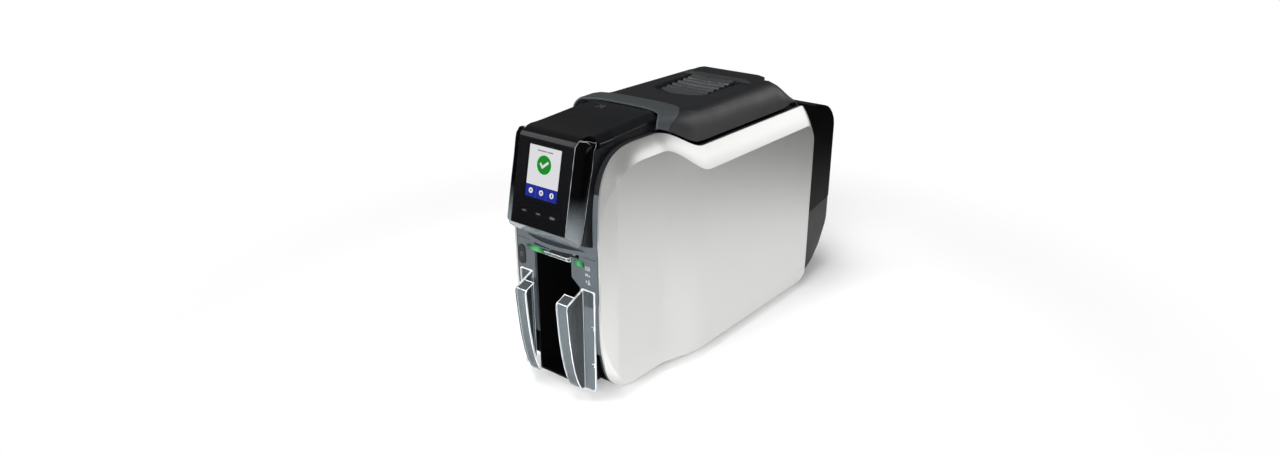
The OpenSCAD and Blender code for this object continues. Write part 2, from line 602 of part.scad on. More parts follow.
module cover_crown() color([0.2, 0.2, 0.21]) placed() intersection() {
    along_x(-crown_x, crown_x) polygon([
        [crown_y + 0.5, plateau_z + 0.05], [crown_y + 4, height - 0.8], [crown_y + 6.5, height],
        [plateau_end, height], [plateau_end + 4, height - 1], [plateau_end + 5.5, height - 2.6], [plateau_end, plateau_z + 0.05]]);
    rotate([90, 0, 0]) translate([0, 0, -plateau_end - 10]) linear_extrude(60) polygon([
        [-crown_x, plateau_z], [-crown_x + 3, plateau_z + 1.6], [-crown_x + 13, height - 0.4], [-crown_x + 16, height],
        [crown_x - 16, height], [crown_x - 13, height - 0.4], [crown_x - 3, plateau_z + 1.6], [crown_x, plateau_z]]);
}
module cover_collar() color([0.35, 0.35, 0.36]) placed()
    shell([for (i = [0 : 4]) for (a = arch_a) let (y = collar_front(a) + (collar_back(a) - collar_front(a)) * i / 4)
            cover_point(y, a, -2.2)],
        [for (i = [0 : 4]) for (a = arch_a) let (y = collar_front(a) + (collar_back(a) - collar_front(a)) * i / 4)
            cover_point(y, a, -0.25)], 5, arch_n + 1);

cover_axis = [body_depth - 34, valley_z - 8];   // (y, z) of the cover's hinge
hinge_r = 3;
arm_x = 50;                         // inner face of the hinge arms
arm_t = 4;
liner_z = plateau_z - 27;
module cover_liner() color([0.24, 0.24, 0.25]) placed() difference() {
    union() {
        translate([-arm_x - arm_t, 128, liner_z]) cube([2 * (arm_x + arm_t), cover_axis[0] - 50 - 128, wall]);
        for (s = [-1, 1]) along_x(s * (arm_x + arm_t / 2) - arm_t / 2, s * (arm_x + arm_t / 2) + arm_t / 2) {
            polygon([[128, liner_z], [128, liner_z + 6], [cover_axis[0] - 50, liner_z + 6],
                [cover_axis[0] - 20, liner_z + 1], [cover_axis[0] + 4, cover_axis[1] + 4], [cover_axis[0] + 5, cover_axis[1] - 4],
                [cover_axis[0] - 5, cover_axis[1] - 5], [cover_axis[0] - 30, liner_z - 4], [cover_axis[0] - 50, liner_z]]);
            translate([cover_axis[0], cover_axis[1]]) circle(r = hinge_r + 3);
        }
        // ribs that carry the sunk pan
        for (x = [-30, 30]) translate([x - 1.5, 180, liner_z]) cube([3, 80, plateau_z - pan_depth - wall - liner_z]);
    }
    x_rod(-rear_face, rear_face, cover_axis[0], cover_axis[1], hinge_r + shaft_play);
}
head_gap = 1.2;                     // card and ribbon between head and platen
module head_bracket() color([0.6, 0.6, 0.62]) placed() difference() {
    union() {
        translate([-38, platen_y - 14, liner_z - 1.5]) cube([76, 30, 1.5]);
        translate([-38, platen_y + 6, path_z + 12]) cube([76, 1.5, liner_z - path_z - 12.5]);
        for (x = [-38, 36.5]) translate([x, platen_y - 8, path_z + 12])
            cube([1.5, 15, liner_z - path_z - 12.5]);
    }
    for (x = [-24, 0, 24]) translate([x, platen_y, path_z + 40]) rotate([-90, 0, 0])
        cylinder(r = 8, h = 20);
}
module printhead() color([0.75, 0.72, 0.6]) placed() along_x(-card_w / 2 - 1.5, card_w / 2 + 1.5) polygon([
    [platen_y - 1, path_z + head_gap], [platen_y + 1, path_z + head_gap], [platen_y + 6, path_z + 6],
    [platen_y + 6, path_z + 30], [platen_y + 2, path_z + 30], [platen_y - 6, path_z + 12], [platen_y - 6, path_z + 7]]);
tab_axis = [crown_y - 2, plateau_z - 3];        // (y, z) the tab turns about
tab_pin_r = 1.2;
tab_r = 55;                         // arc of the tab's lip in plan
rib_pitch = 7;
module release_tab() color([0.3, 0.3, 0.31]) placed() {
    intersection() {
        along_x(-tab_x, tab_x) polygon(concat(
            [[tab_axis[0] + 1.2, tab_axis[1] - 1.2], [tab_axis[0] + 1.2, tab_axis[1] + 1.5],
                [crown_y - 4, height - 1.4], [crown_y - 16, height - 3]],
            [for (i = [0 : 6]) each [
                [crown_y - 17 - rib_pitch * i, height - 2.8 - 0.5 * i],
                [crown_y - 20.4 - rib_pitch * i, height - 3 - 0.5 * i],
                [crown_y - 20.9 - rib_pitch * i, height - 3.7 - 0.5 * i],
                [crown_y - 23.5 - rib_pitch * i, height - 3.9 - 0.5 * i]]],
            [[tab_front, plateau_z - 2.6], [tab_front + 1.5, plateau_z - 3.6]]));
        translate([0, tab_front + tab_r, 0]) cylinder(r = tab_r, h = height + 5, $fn = 128);
    }
    x_rod(-tab_x - 3.5, tab_x + 3.5, tab_axis[0], tab_axis[1], tab_pin_r);
}

// ---- inner frame ----
flip_y = body_depth + rear_reach - wall - 1.5 - flip_r;
front_roller_y = platen_y - 33;
rear_roller_y = platen_y + 33;
clean_y = platen_y - 75;
platen_z = path_z - platen_r;
roller_z = path_z - roller_r;
pinch_r = 5;
card_t = 0.8;
pinch_z = path_z + card_t + pinch_r;
clean_r = 8;
clean_z = path_z + card_t + clean_r;
supply_y = platen_y + 57;
supply_z = path_z + 56;
takeup_y = platen_y - 54;
takeup_z = path_z + 54;
plate_front = hop_rear + 9;
plate_rear = flip_y + 12;
bush_r = shaft_r + bush_wall;
// (y, z) of every shaft that runs in bushes in the frame plates
shafts = [[platen_y, platen_z], [front_roller_y, roller_z], [rear_roller_y, roller_z],
    [front_roller_y, pinch_z], [rear_roller_y, pinch_z], [clean_y, clean_z], [flip_y, path_z],
    [supply_y, supply_z], [takeup_y, takeup_z]];
ties = [[plate_front + 8, 60], [300, 100], [300, 200], [plate_front + 8, 190]];
tie_r = 3;
module frame_plate() difference() {
    along_x(plate_x, plate_x + plate_t) difference() {
        polygon([[plate_front, foot_h + floor_t], [base_rear - 34, foot_h + floor_t], [base_rear - 34, station_z0 + 8],
            [plate_rear, path_z - 16], [plate_rear, path_z + 16], [base_rear - 34, station_z1 - 4],
            [base_rear - 44, valley_z - 22], [plate_front, valley_z - 22]]);
        translate([160, 60]) circle(r = 20);
        translate([230, 60]) circle(r = 20);
    }
    for (p = shafts) x_rod(plate_x - 1, plate_x + plate_t + 1, p[0], p[1], bush_r);
    x_rod(plate_x - 1, plate_x + plate_t + 1, pinion_at[0], pinion_at[1], motor_shaft_r + 1);
}
module frame_plate_right() color([0.68, 0.69, 0.7]) placed() {
    frame_plate();
    frame_studs();
}
module frame_plate_left() color([0.68, 0.69, 0.7]) placed() mirror([1, 0, 0]) frame_plate();
module frame_ties() color([0.72, 0.72, 0.74]) placed()
    for (t = ties) x_rod(-plate_x, plate_x, t[0], t[1], tie_r);
module roller_bushes() color([0.85, 0.83, 0.76]) placed() mirrored() for (p = shafts) difference() {
    union() {
        x_rod(plate_x, plate_x + plate_t, p[0], p[1], bush_r);
        x_rod(plate_x - 1, plate_x, p[0], p[1], bush_r + 0.9);
    }
    x_rod(plate_x - 2, plate_x + plate_t + 1, p[0], p[1], shaft_r + shaft_play);
}
path_half = card_w / 2 + 4;
module path_plate() color([0.7, 0.71, 0.72]) placed() difference() {
    union() {
        translate([-path_half, hop_rear + 2, path_z - 2.1]) cube([2 * path_half, base_rear - hop_rear - 30, 1.5]);
        for (x = [-path_half, path_half - 1.5]) translate([x, hop_rear + 2, path_z - 2.1])
            cube([1.5, base_rear - hop_rear - 30, 5]);
        for (x = [-plate_x, path_half - 1]) for (y = [150, 290])
            translate([x, y, path_z - 6]) cube([plate_x - path_half + 1, 8, 3.9]);
    }
    translate([-path_half + 3, platen_y - 9, path_z - 5]) cube([2 * path_half - 6, 18, 10]);
    for (y = [front_roller_y, rear_roller_y])
        translate([-path_half + 3, y - 8, path_z - 5]) cube([2 * path_half - 6, 16, 10]);
    for (y = [front_roller_y, rear_roller_y, clean_y])
        x_rod(-path_half - 1, path_half + 1, y, pinch_z + 0.6, shaft_r + 3.2);
}

// ---- gears ----
gear_x = plate_x + plate_t + 1.2;
backlash = 0.3;
function gear_r(teeth) = teeth * gear_m / 2;
module gear_outline(teeth) {
    r = gear_r(teeth);
    half = (PI * gear_m / 2 - backlash) / 2;
    tip = [r + 0.85 * gear_m, half * 0.42];
    root = [r - 1.1 * gear_m, half * 1.35];
    polygon([for (i = [0 : teeth - 1]) each [for (k = [[root[0], -root[1]], [r, -half], [tip[0], -tip[1]],
            [tip[0], tip[1]], [r, half], [root[0], root[1]]])
        [k[0] * cos(360 * i / teeth + k[1] / k[0] * 180 / PI),
            k[0] * sin(360 * i / teeth + k[1] / k[0] * 180 / PI)]]]);
}
// The phase of a gear that meshes with a neighbour of phase p1 along angle a
function mesh_phase(t1, p1, t2, a) = let (f = (a - p1) * t1 / 360) a + 180 + (f - 0.5) * 360 / t2;
// The idler's centre between two gears, below the line through them
function idler_at(p, q, a, b) = let (dx = q[0] - p[0], dz = q[1] - p[1], d = norm([dx, dz]),
        u = (d * d + a * a - b * b) / (2 * d), v = sqrt(a * a - u * u))
    [p[0] + dx / d * u + dz / d * v, p[1] + dz / d * u - dx / d * v];
function angle_to(p, q) = atan2(q[1] - p[1], q[0] - p[0]);
platen_at = [platen_y, platen_z];
front_at = [front_roller_y, roller_z];
rear_at = [rear_roller_y, roller_z];
roller_idler = gear_r(roller_teeth) + gear_r(idler_teeth);
platen_idler = gear_r(platen_teeth) + gear_r(idler_teeth);
front_idler_at = idler_at(front_at, platen_at, roller_idler, platen_idler);
rear_idler_at = idler_at(platen_at, rear_at, platen_idler, roller_idler);
pinion_at = [platen_y, platen_z - gear_r(platen_teeth) - gear_r(pinion_teeth)];
front_idler_phase = mesh_phase(platen_teeth, 0, idler_teeth, angle_to(platen_at, front_idler_at));
rear_idler_phase = mesh_phase(platen_teeth, 0, idler_teeth, angle_to(platen_at, rear_idler_at));
front_gear_phase = mesh_phase(idler_teeth, front_idler_phase, roller_teeth, angle_to(front_idler_at, front_at));
rear_gear_phase = mesh_phase(idler_teeth, rear_idler_phase, roller_teeth, angle_to(rear_idler_at, rear_at));
pinion_phase = mesh_phase(platen_teeth, 0, pinion_teeth, -90);
module gear(at, teeth, phase, bore) difference() {
    translate([gear_x, at[0], at[1]]) rotate([90, 0, 90]) rotate(phase)
        linear_extrude(gear_t) gear_outline(teeth);
    x_rod(gear_x - 1, gear_x + gear_t + 1, at[0], at[1], bore);
}
module roller(y, z, r, half, x1 = plate_x + plate_t) {
    x_rod(-plate_x - plate_t, x1, y, z, shaft_r);
    x_rod(-half, half, y, z, r);
}
gear_end = gear_x + gear_t + 1;
module platen_roller() color([0.15, 0.15, 0.16]) placed()
    roller(platen_y, platen_z, platen_r, card_w / 2 + 1, gear_end);
module front_roller() color([0.25, 0.25, 0.27]) placed()
    roller(front_roller_y, roller_z, roller_r, card_w / 2 - 4, gear_end);
module rear_roller() color([0.25, 0.25, 0.27]) placed()
    roller(rear_roller_y, roller_z, roller_r, card_w / 2 - 4, gear_end);
module platen_gear() color([0.9, 0.88, 0.82]) placed() gear(platen_at, platen_teeth, 0, shaft_r);
module front_roller_gear() color([0.9, 0.88, 0.82]) placed() gear(front_at, roller_teeth, front_gear_phase, shaft_r);
module rear_roller_gear() color([0.9, 0.88, 0.82]) placed() gear(rear_at, roller_teeth, rear_gear_phase, shaft_r);
stud_r = 2;
module front_idler() color([0.9, 0.88, 0.82]) placed()
    gear(front_idler_at, idler_teeth, front_idler_phase, stud_r + shaft_play);
module rear_idler() color([0.9, 0.88, 0.82]) placed()
    gear(rear_idler_at, idler_teeth, rear_idler_phase, stud_r + shaft_play);
motor_shaft_r = 1.5;
module motor_pinion() color([0.8, 0.7, 0.4]) placed() gear(pinion_at, pinion_teeth, pinion_phase, motor_shaft_r + shaft_play);
motor_r = 12;
module feed_motor() color([0.3, 0.3, 0.32]) placed() difference() {
    union() {
        x_rod(plate_x - 34, plate_x, pinion_at[0], pinion_at[1], motor_r);
        x_rod(plate_x, gear_end, pinion_at[0], pinion_at[1], motor_shaft_r);
    }
}
// studs that the idlers turn on
module frame_studs() for (p = [front_idler_at, rear_idler_at])
    x_rod(plate_x + plate_t, gear_end, p[0], p[1], stud_r);
module front_pinch_roller() color([0.3, 0.3, 0.32]) placed()
    roller(front_roller_y, pinch_z, pinch_r, card_w / 2 - 4);
module rear_pinch_roller() color([0.3, 0.3, 0.32]) placed()
    roller(rear_roller_y, pinch_z, pinch_r, card_w / 2 - 4);
module cleaning_roller() color([0.35, 0.55, 0.75]) placed()
    roller(clean_y, clean_z, clean_r, card_w / 2 + 1);

// ---- ribbon ----
ribbon_half = card_w / 2 + 2;
module spool(y, z, r) difference() {
    union() {
        roller(y, z, core_r, ribbon_half + 3);
        x_rod(-ribbon_half, ribbon_half, y, z, r);
        for (s = [-1, 1]) x_rod(s > 0 ? ribbon_half + 3 : -ribbon_half - 4.5, s > 0 ? ribbon_half + 4.5 : -ribbon_half - 3, y, z, r * 0.7 + 2);
    }
    for (a = [0 : 60 : 300]) x_rod(ribbon_half + 2, ribbon_half + 6, y + (r * 0.7 - 1.5) * cos(a), z + (r * 0.7 - 1.5) * sin(a), 1.2);
}
module supply_spool() color([0.75, 0.15, 0.35]) placed() spool(supply_y, supply_z, supply_r);
module takeup_spool() color([0.2, 0.2, 0.5]) placed() spool(takeup_y, takeup_z, takeup_r);
film_t = 0.3;
film_z = path_z + card_t + 0.1;
module film_run(p, q) let (a = angle_to(p, q)) translate([0, p[0], p[1]]) rotate([a, 0, 0])
    translate([-ribbon_half + 1, 0, 0]) cube([2 * ribbon_half - 2, norm(q - p), film_t]);
module ribbon_film() color([0.45, 0.1, 0.3]) placed() along_x(-ribbon_half + 1, ribbon_half - 1) polygon([
    [takeup_y + takeup_r + 0.3, takeup_z], [platen_y - 22, film_z + 20], [platen_y - 1, film_z], [platen_y + 1, film_z],
    [platen_y + 28, film_z + 20], [supply_y - supply_r - 0.3, supply_z],
    [supply_y - supply_r - 0.3 - film_t, supply_z], [platen_y + 28 - 0.3, film_z + 20.4], [platen_y + 1, film_z + film_t],
    [platen_y - 1, film_z + film_t], [platen_y - 22 + 0.3, film_z + 20.4], [takeup_y + takeup_r + 0.3 + film_t, takeup_z]]);

// ---- card turn-over table in the rear station ----
table_half = card_w / 2 + 4;
table_l = 58;
table_h = 18;
module flip_table() color([0.28, 0.28, 0.3]) placed() difference() {
    union() {
        along_x(-table_half, table_half) translate([flip_y, path_z]) difference() {
            square([table_l, table_h], center = true);
            // ribs outside, a clear way for the card in the middle
            square([table_l + 2, 2.4], center = true);
            for (s = [-1, 1]) for (u = [-1, 1]) translate([u * table_l / 2, s * table_h / 2]) circle(r = 5, $fn = 32);
        }
        for (s = [-1, 1]) along_x(s * (table_half + 1.5) - 1.5, s * (table_half + 1.5) + 1.5)
            translate([flip_y, path_z]) square([table_l - 12, table_h], center = true);
        for (s = [-1, 1]) x_rod(s > 0 ? table_half : -plate_x - plate_t, s > 0 ? plate_x + plate_t : -table_half, flip_y, path_z, shaft_r);
    }
    for (y = [-16, 16]) for (z = [-1, 1]) translate([0, flip_y + y, path_z + z * 9])
        cube([2 * table_half - 14, 12, 8], center = true);
}

// ---- rear covers ----
rear_y = body_depth + rear_reach;
crease_z = path_z - 54;             // where the rear shell tucks under
function rear_edge(inset) = [for (i = [0 : 24]) let (y = body_depth - 26 * pow(1 - i / 24, 1.6) + inset)
    [y, rim_top(y - inset)]];
module rear_side(inset) polygon(concat(
    [[body_depth + 0.4, crease_z - 4]],
    [for (i = [24 : -1 : 6]) let (y = body_depth - 26 * pow(1 - i / 24, 1.6)) [y + 0.4, max(crease_z, rim_top(y))]],
    [[body_depth - 6, valley_z - 5 - inset], [body_depth + 12, valley_z - 7.5 - inset], [rear_y - 36, valley_z - 10 - inset],
        [rear_y - 29, valley_z - 12.5 - inset], [rear_y - 22 - inset * 0.4, valley_z - 17 - inset * 0.9],
        [rear_y - 16 - inset * 0.7, valley_z - 23 - inset * 0.7], [rear_y - 11 - inset, valley_z - 31 - inset * 0.4],
        [rear_y - 7 - inset, valley_z - 42], [rear_y - 3.8 - inset, valley_z - 56], [rear_y - 1.2 - inset, valley_z - 74],
        [rear_y - inset, valley_z - 95], [rear_y - inset, crease_z + 8], [rear_y - 3 - inset, crease_z + 6]]));
module rear_plan(x, y1, r = 12) hull() {
    translate([-x, body_depth - 30]) square([2 * x, 10]);
    for (s = [-1, 1]) translate([s * (x - r), y1 - r]) circle(r = r);
}
module rear_cover() color([0.07, 0.07, 0.08]) placed() difference() {
    intersection() {
        along_x(-rear_x, rear_x) rear_side(0);
        linear_extrude(height) rear_plan(rear_x, rear_y);
    }
    intersection() {
        along_x(-rear_x, rear_x) translate([-0.01, 0]) union() {
            rear_side(wall);
            translate([body_depth - 30, crease_z - 10]) square([rear_reach + 25, 30]);
        }
        linear_extrude(height) rear_plan(rear_x - wall, rear_y - wall, 10);
    }
}
low_profile = [[body_depth + 0.4, crease_z - 4.4], [rear_y - 0.4, crease_z + 6], [rear_y - 0.8, crease_z - 2],
    [rear_y - 4.5, crease_z - 14], [rear_y - 13.5, crease_z - 34], [rear_y - 26, crease_z - 56],
    [rear_y - 41, crease_z - 71], [body_depth + 5, 16], [body_depth + 0.4, 14]];
low_x = rear_x - 0.5;
module low_side(inset) polygon([for (p = low_profile) [max(body_depth + 0.4, p[0] - inset), p[1] + (p[0] > body_depth + 2 ? inset * 0.5 : 0)]]);
port_y = body_depth + 10;           // the recessed wall that holds the ports
port_z0 = 30;
port_z1 = crease_z - 12;
module rear_lower_cover() color([0.3, 0.3, 0.31]) placed() difference() {
    intersection() {
        along_x(-low_x, low_x) low_side(0);
        linear_extrude(height) rear_plan(low_x, rear_y - 0.4);
    }
    translate([-bin_x - seam, body_depth - 1, bin_z0 - 3]) cube([2 * (bin_x + seam), rear_reach + 5, height]);
    translate([-bin_x - seam, body_depth + 4, 0]) cube([2 * (bin_x + seam), rear_reach, height]);
    for (s = [-1, 1]) translate([s > 0 ? bin_x + 5 : -low_x + 4, port_y, port_z0])
        cube([low_x - bin_x - 9, rear_reach, port_z1 - port_z0]);
    translate([inlet_x - 14, port_y - 12, inlet_z - 10.2]) cube([28, 20, 20.4]);
    translate([usb_x - 6.2, port_y - 12, usb_z - 6.2]) cube([12.4, 20, 12.4]);
    translate([net_x - 8.2, port_y - 12, net_z - 7.2]) cube([16.4, 20, 14.4]);
    x_rod(-bin_x - 3.5, bin_x + 3.5, bin_axis[0], bin_axis[1], bin_pin_r);
}
inlet_x = -(bin_x + low_x + 1) / 2;
inlet_z = 54;
usb_x = (bin_x + low_x + 1) / 2;
usb_z = 66;
net_x = usb_x;
net_z = 45;
module power_inlet() color([0.05, 0.05, 0.05]) placed() difference() {
    translate([inlet_x - 13.8, port_y - 9.5, inlet_z - 10]) cube([27.6, 11, 20]);
    translate([inlet_x - 11.5, port_y - 7, inlet_z - 7.5]) cube([23, 10, 15]);
}
module usb_port() color([0.75, 0.75, 0.76]) placed() difference() {
    translate([usb_x - 6, port_y - 9.5, usb_z - 6]) cube([12, 11, 12]);
    translate([usb_x - 4.2, port_y - 7, usb_z - 4]) cube([8.4, 10, 8]);
}
module network_port() color([0.75, 0.75, 0.76]) placed() difference() {
    translate([net_x - 8, port_y - 9.5, net_z - 7]) cube([16, 11, 14]);
    translate([net_x - 6, port_y - 7, net_z - 4.5]) cube([12, 10, 9.5]);
}
bin_wall = 2;
bin_pin_r = 1.5;
bin_z0 = 24;
bin_top = crease_z - 6;
bin_front = 38;                     // top of its inner wall, below the way in
bin_axis = [body_depth + 8, bin_z0 + 4];
module bin_profile(inset) polygon([
    [body_depth + 3 + inset, bin_z0 + inset], [body_depth + 14, bin_z0 + inset - 2],
    [rear_y - 41 - inset, crease_z - 71 + inset], [rear_y - 26 - inset, crease_z - 55], [rear_y - 14 - inset, crease_z - 33],
    [rear_y - 5 - inset, crease_z - 13], [rear_y - 3 - inset, bin_top], [rear_y - 3 - inset, bin_top + inset * 10],
    [body_depth + 3 + inset, bin_front + inset * 10]]);
module reject_bin() color([0.3, 0.3, 0.31]) placed() difference() {
    along_x(-bin_x, bin_x) bin_profile(0);
    along_x(-bin_x + bin_wall, bin_x - bin_wall) bin_profile(bin_wall);
    x_rod(-bin_x - 1, bin_x + 1, bin_axis[0], bin_axis[1], bin_pin_r + shaft_play);
}

// ---- electronics, pins and screws ----
module main_board() color([0.1, 0.35, 0.18]) placed() {
    translate([-rear_rim + 8, 160, 40]) cube([1.6, 150, 130]);
    for (c = [[175, 60, 22, 18], [215, 70, 30, 30], [265, 60, 18, 40], [200, 130, 40, 16], [260, 130, 24, 24]])
        translate([-rear_rim + 9.6, c[0], c[1]]) cube([4, c[2], c[3]]);
    for (y = [170, 300]) for (z = [48, 162])
        x_rod(-rear_rim + hull_x + wall, -rear_rim + 8, y, z, 2.5);
}
module power_supply() color([0.7, 0.7, 0.72]) placed() difference() {
    translate([-38, 215, foot_h + floor_t]) cube([76, 110, 40]);
    for (i = [0 : 7]) translate([-30 + i * 8, 214, 30]) cube([3, 2.5, 14]);
}
module hinge_pins() color([0.8, 0.8, 0.82]) placed() {
    for (s = [-1, 1]) {
        x_rod(s > 0 ? arm_x - 1 : -rear_rim + hull_x + wall, s > 0 ? rear_rim - hull_x - wall : -arm_x + 1,
            cover_axis[0], cover_axis[1], hinge_r);
        x_rod(s > 0 ? door_face_x - 3.5 : -door_ear_x - 4, s > 0 ? door_ear_x + 4 : -door_face_x + 3.5,
            door_axis[0], door_axis[1], door_pin_r);
        x_rod(s > 0 ? bin_x - 6 : -bin_x - 3.5, s > 0 ? bin_x + 3.5 : -bin_x + 6, bin_axis[0], bin_axis[1], bin_pin_r);
    }
}
module panel_screws() color([0.35, 0.35, 0.36]) placed()
    for (s = [-1, 1]) for (y = [60, body_depth - 80])
        translate([s * foot_x, y, foot_h - 1.6]) difference() {
            cylinder(r = 3, h = 1.6);
            translate([0, 0, -0.6]) cylinder(r = 1.2, h = 1.4, $fn = 6);
        }

base_housing();
side_panel_right();
side_panel_left();
front_fascia();
head_housing();
bay_liner();
wing_right();
wing_left();
card_guide();
slot_light_left();
slot_light_right();
input_hopper();
path_plate();
frame_plate_right();
frame_plate_left();
frame_ties();
roller_bushes();
rear_cover();
rear_lower_cover();
power_inlet();
usb_port();
network_port();
main_board();
power_supply();
feed_motor();
panel_screws();
rubber_feet();
hinge_pins();
top_cover();
cover_crown();
cover_collar();
cover_liner();
head_bracket();
printhead();
release_tab();
front_door();
visor_lens();
display_module();
display_glass();
menu_button_left();
menu_button_middle();
menu_button_right();
power_button();
reject_bin();
platen_roller();
platen_gear();
front_roller();
front_roller_gear();
rear_roller();
rear_roller_gear();
front_idler();
rear_idler();
motor_pinion();
front_pinch_roller();
rear_pinch_roller();
cleaning_roller();
supply_spool();
takeup_spool();
flip_table();
ribbon_film();
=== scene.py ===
# %% [markdown]
# # A desk-top card printer
#
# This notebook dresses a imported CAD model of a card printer. The CAD brings
# every solid in its real place and size, and the joints that move them.
# What is left for Blender is the look: finishes, soft edges, the picture on
# the display, light and camera. The model loads first as a fixed frame.

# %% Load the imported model
import json
import math

import bmesh
import bpy
from mathutils import Matrix, Vector


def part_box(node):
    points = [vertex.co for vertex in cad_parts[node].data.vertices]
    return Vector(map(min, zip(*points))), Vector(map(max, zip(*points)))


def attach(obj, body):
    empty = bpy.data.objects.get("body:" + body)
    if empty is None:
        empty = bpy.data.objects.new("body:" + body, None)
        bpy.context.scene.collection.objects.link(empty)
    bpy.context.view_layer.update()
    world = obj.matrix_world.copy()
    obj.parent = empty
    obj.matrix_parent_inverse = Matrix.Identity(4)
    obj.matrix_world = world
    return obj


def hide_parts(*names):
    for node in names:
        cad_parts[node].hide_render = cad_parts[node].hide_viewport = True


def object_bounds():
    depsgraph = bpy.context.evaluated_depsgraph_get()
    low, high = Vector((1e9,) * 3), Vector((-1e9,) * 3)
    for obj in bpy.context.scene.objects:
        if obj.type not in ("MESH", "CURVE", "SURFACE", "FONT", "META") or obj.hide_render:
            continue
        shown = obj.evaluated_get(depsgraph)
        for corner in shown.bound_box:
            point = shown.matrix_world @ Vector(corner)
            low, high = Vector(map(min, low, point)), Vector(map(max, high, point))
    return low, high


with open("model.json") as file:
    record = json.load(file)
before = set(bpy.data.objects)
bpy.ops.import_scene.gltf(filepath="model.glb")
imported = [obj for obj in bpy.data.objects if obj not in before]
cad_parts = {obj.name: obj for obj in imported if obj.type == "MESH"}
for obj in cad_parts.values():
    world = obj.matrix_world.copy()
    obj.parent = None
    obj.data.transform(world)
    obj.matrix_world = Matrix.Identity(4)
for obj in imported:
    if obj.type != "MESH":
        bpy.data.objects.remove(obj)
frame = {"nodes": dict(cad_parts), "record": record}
nodes = frame["nodes"]
scene = bpy.context.scene
cad_low, cad_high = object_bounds()
print("pieces loaded:", len(nodes))

# %% [markdown]
# ## Camera
#
# Where the photographer stood decides every outline in the picture. The
# angle and distance come from three families of parallel edges: the
# uprights, the long edges that run back and the short ones across.
# The camera then aims at one point on the printer, and nothing is shifted.

# %% Place the camera
camera_azimuth = math.radians(38.5)
camera_elevation = math.radians(22.1)
camera_distance = 0.9704
camera_target = Vector((0.0, -0.0747, 0.1313))
focal_length_pixels, photo_width_pixels, sensor_mm = 922.7, 1280, 36.0

toward_camera = Vector((
    math.sin(camera_azimuth) * math.cos(camera_elevation),
    -math.cos(camera_azimuth) * math.cos(camera_elevation),
    math.sin(camera_elevation),
))
camera_data = bpy.data.cameras.new("camera")
camera_data.sensor_width = sensor_mm
camera_data.lens = focal_length_pixels / photo_width_pixels * sensor_mm
camera_data.clip_end = 20.0
camera = bpy.data.objects.new("camera", camera_data)
scene.collection.objects.link(camera)
camera.location = camera_target + camera_distance * toward_camera
camera.rotation_euler = toward_camera.to_track_quat("Z", "Y").to_euler()
scene.camera = camera
print("camera at", [round(c, 3) for c in camera.location])

# %% [markdown]
# ## Colour and shader helpers
#
# Colours are written as sRGB hex values, the way a colour picker shows
# them. Shaders work in linear light, so one function converts them. A
# second function adds a node, fills in its settings and makes its links.
# A texture's scale is how often it repeats in a metre, and the last one
# works that out from a count over a real length in millimetres.

# %% Define the helpers
def linear_colour(hex_value, alpha=1.0):
    channels = [int(hex_value[i:i + 2], 16) / 255 for i in (1, 3, 5)]
    linear = [
        c / 12.92 if c <= 0.04045 else ((c + 0.055) / 1.055) ** 2.4
        for c in channels
    ]
    return (*linear, alpha)


def add_node(tree, kind, settings=None, inputs=None):
    node = tree.nodes.new(kind)
    for name, value in (settings or {}).items():
        setattr(node, name, value)
    for name, value in (inputs or {}).items():
        if isinstance(value, bpy.types.NodeSocket):
            tree.links.new(value, node.inputs[name])
        else:
            node.inputs[name].default_value = value
    return node


def start_material(name):
    material = bpy.data.materials.new(name)
    material.use_nodes = True
    tree = material.node_tree
    tree.nodes.clear()
    output = tree.nodes.new("ShaderNodeOutputMaterial")
    return material, tree, output


def finish_node(node_name, material):
    mesh = nodes[node_name].data
    mesh.materials.clear()
    mesh.materials.append(material)


def per_metre(count, length_mm):
    return 1000 * count / length_mm


print("mid grey in linear light:", round(linear_colour("#808080")[0], 3))

# %% [markdown]
# ## Moulded ABS
#
# Most of the printer is ABS, injection moulded in a spark-eroded tool. The
# tool leaves a grain about 0.3 mm wide that scatters highlights into a soft
# sheen. A noise texture with one grain and one gap to each repeat drives a
# little bump and tone. A broader noise, seven smears in 200 mm, makes the
# roughness wander the way handling does.

# %% Make moulded ABS
def moulded_abs(name, colour, roughness, grain_mm=0.35, grain_depth=0.12, wander=0.05,
                sheen_level=0.3):
    material, tree, output = start_material(name)
    place = add_node(tree, "ShaderNodeTexCoord")
    grain = add_node(tree, "ShaderNodeTexNoise", inputs={
        "Vector": place.outputs["Object"], "Scale": per_metre(1, 2 * grain_mm), "Detail": 2.0,
    })
    handling = add_node(tree, "ShaderNodeTexNoise", inputs={
        "Vector": place.outputs["Object"], "Scale": per_metre(7, 200), "Detail": 4.0,
    })
    rough = add_node(tree, "ShaderNodeMapRange", inputs={
        "Value": handling.outputs["Fac"], "From Min": 0.3, "From Max": 0.7,
        "To Min": roughness - wander, "To Max": roughness + wander,
    })
    shade = add_node(tree, "ShaderNodeMapRange", inputs={
        "Value": grain.outputs["Fac"], "From Min": 0.35, "From Max": 0.65,
        "To Min": 0.92, "To Max": 1.08,
    })
    tone = add_node(tree, "ShaderNodeVectorMath", {"operation": "SCALE"}, inputs={
        "Vector": linear_colour(colour)[:3], "Scale": shade.outputs["Result"],
    })
    bump = add_node(tree, "ShaderNodeBump", inputs={
        "Height": grain.outputs["Fac"], "Strength": grain_depth, "Distance": 0.0002,
    })
    shader = add_node(tree, "ShaderNodeBsdfPrincipled", inputs={
        "Base Color": tone.outputs["Vector"], "Roughness": rough.outputs["Result"],
        "Normal": bump.outputs["Normal"], "IOR": 1.54, "Specular IOR Level": sheen_level,
    })
    tree.links.new(shader.outputs["BSDF"], output.inputs["Surface"])
    return material


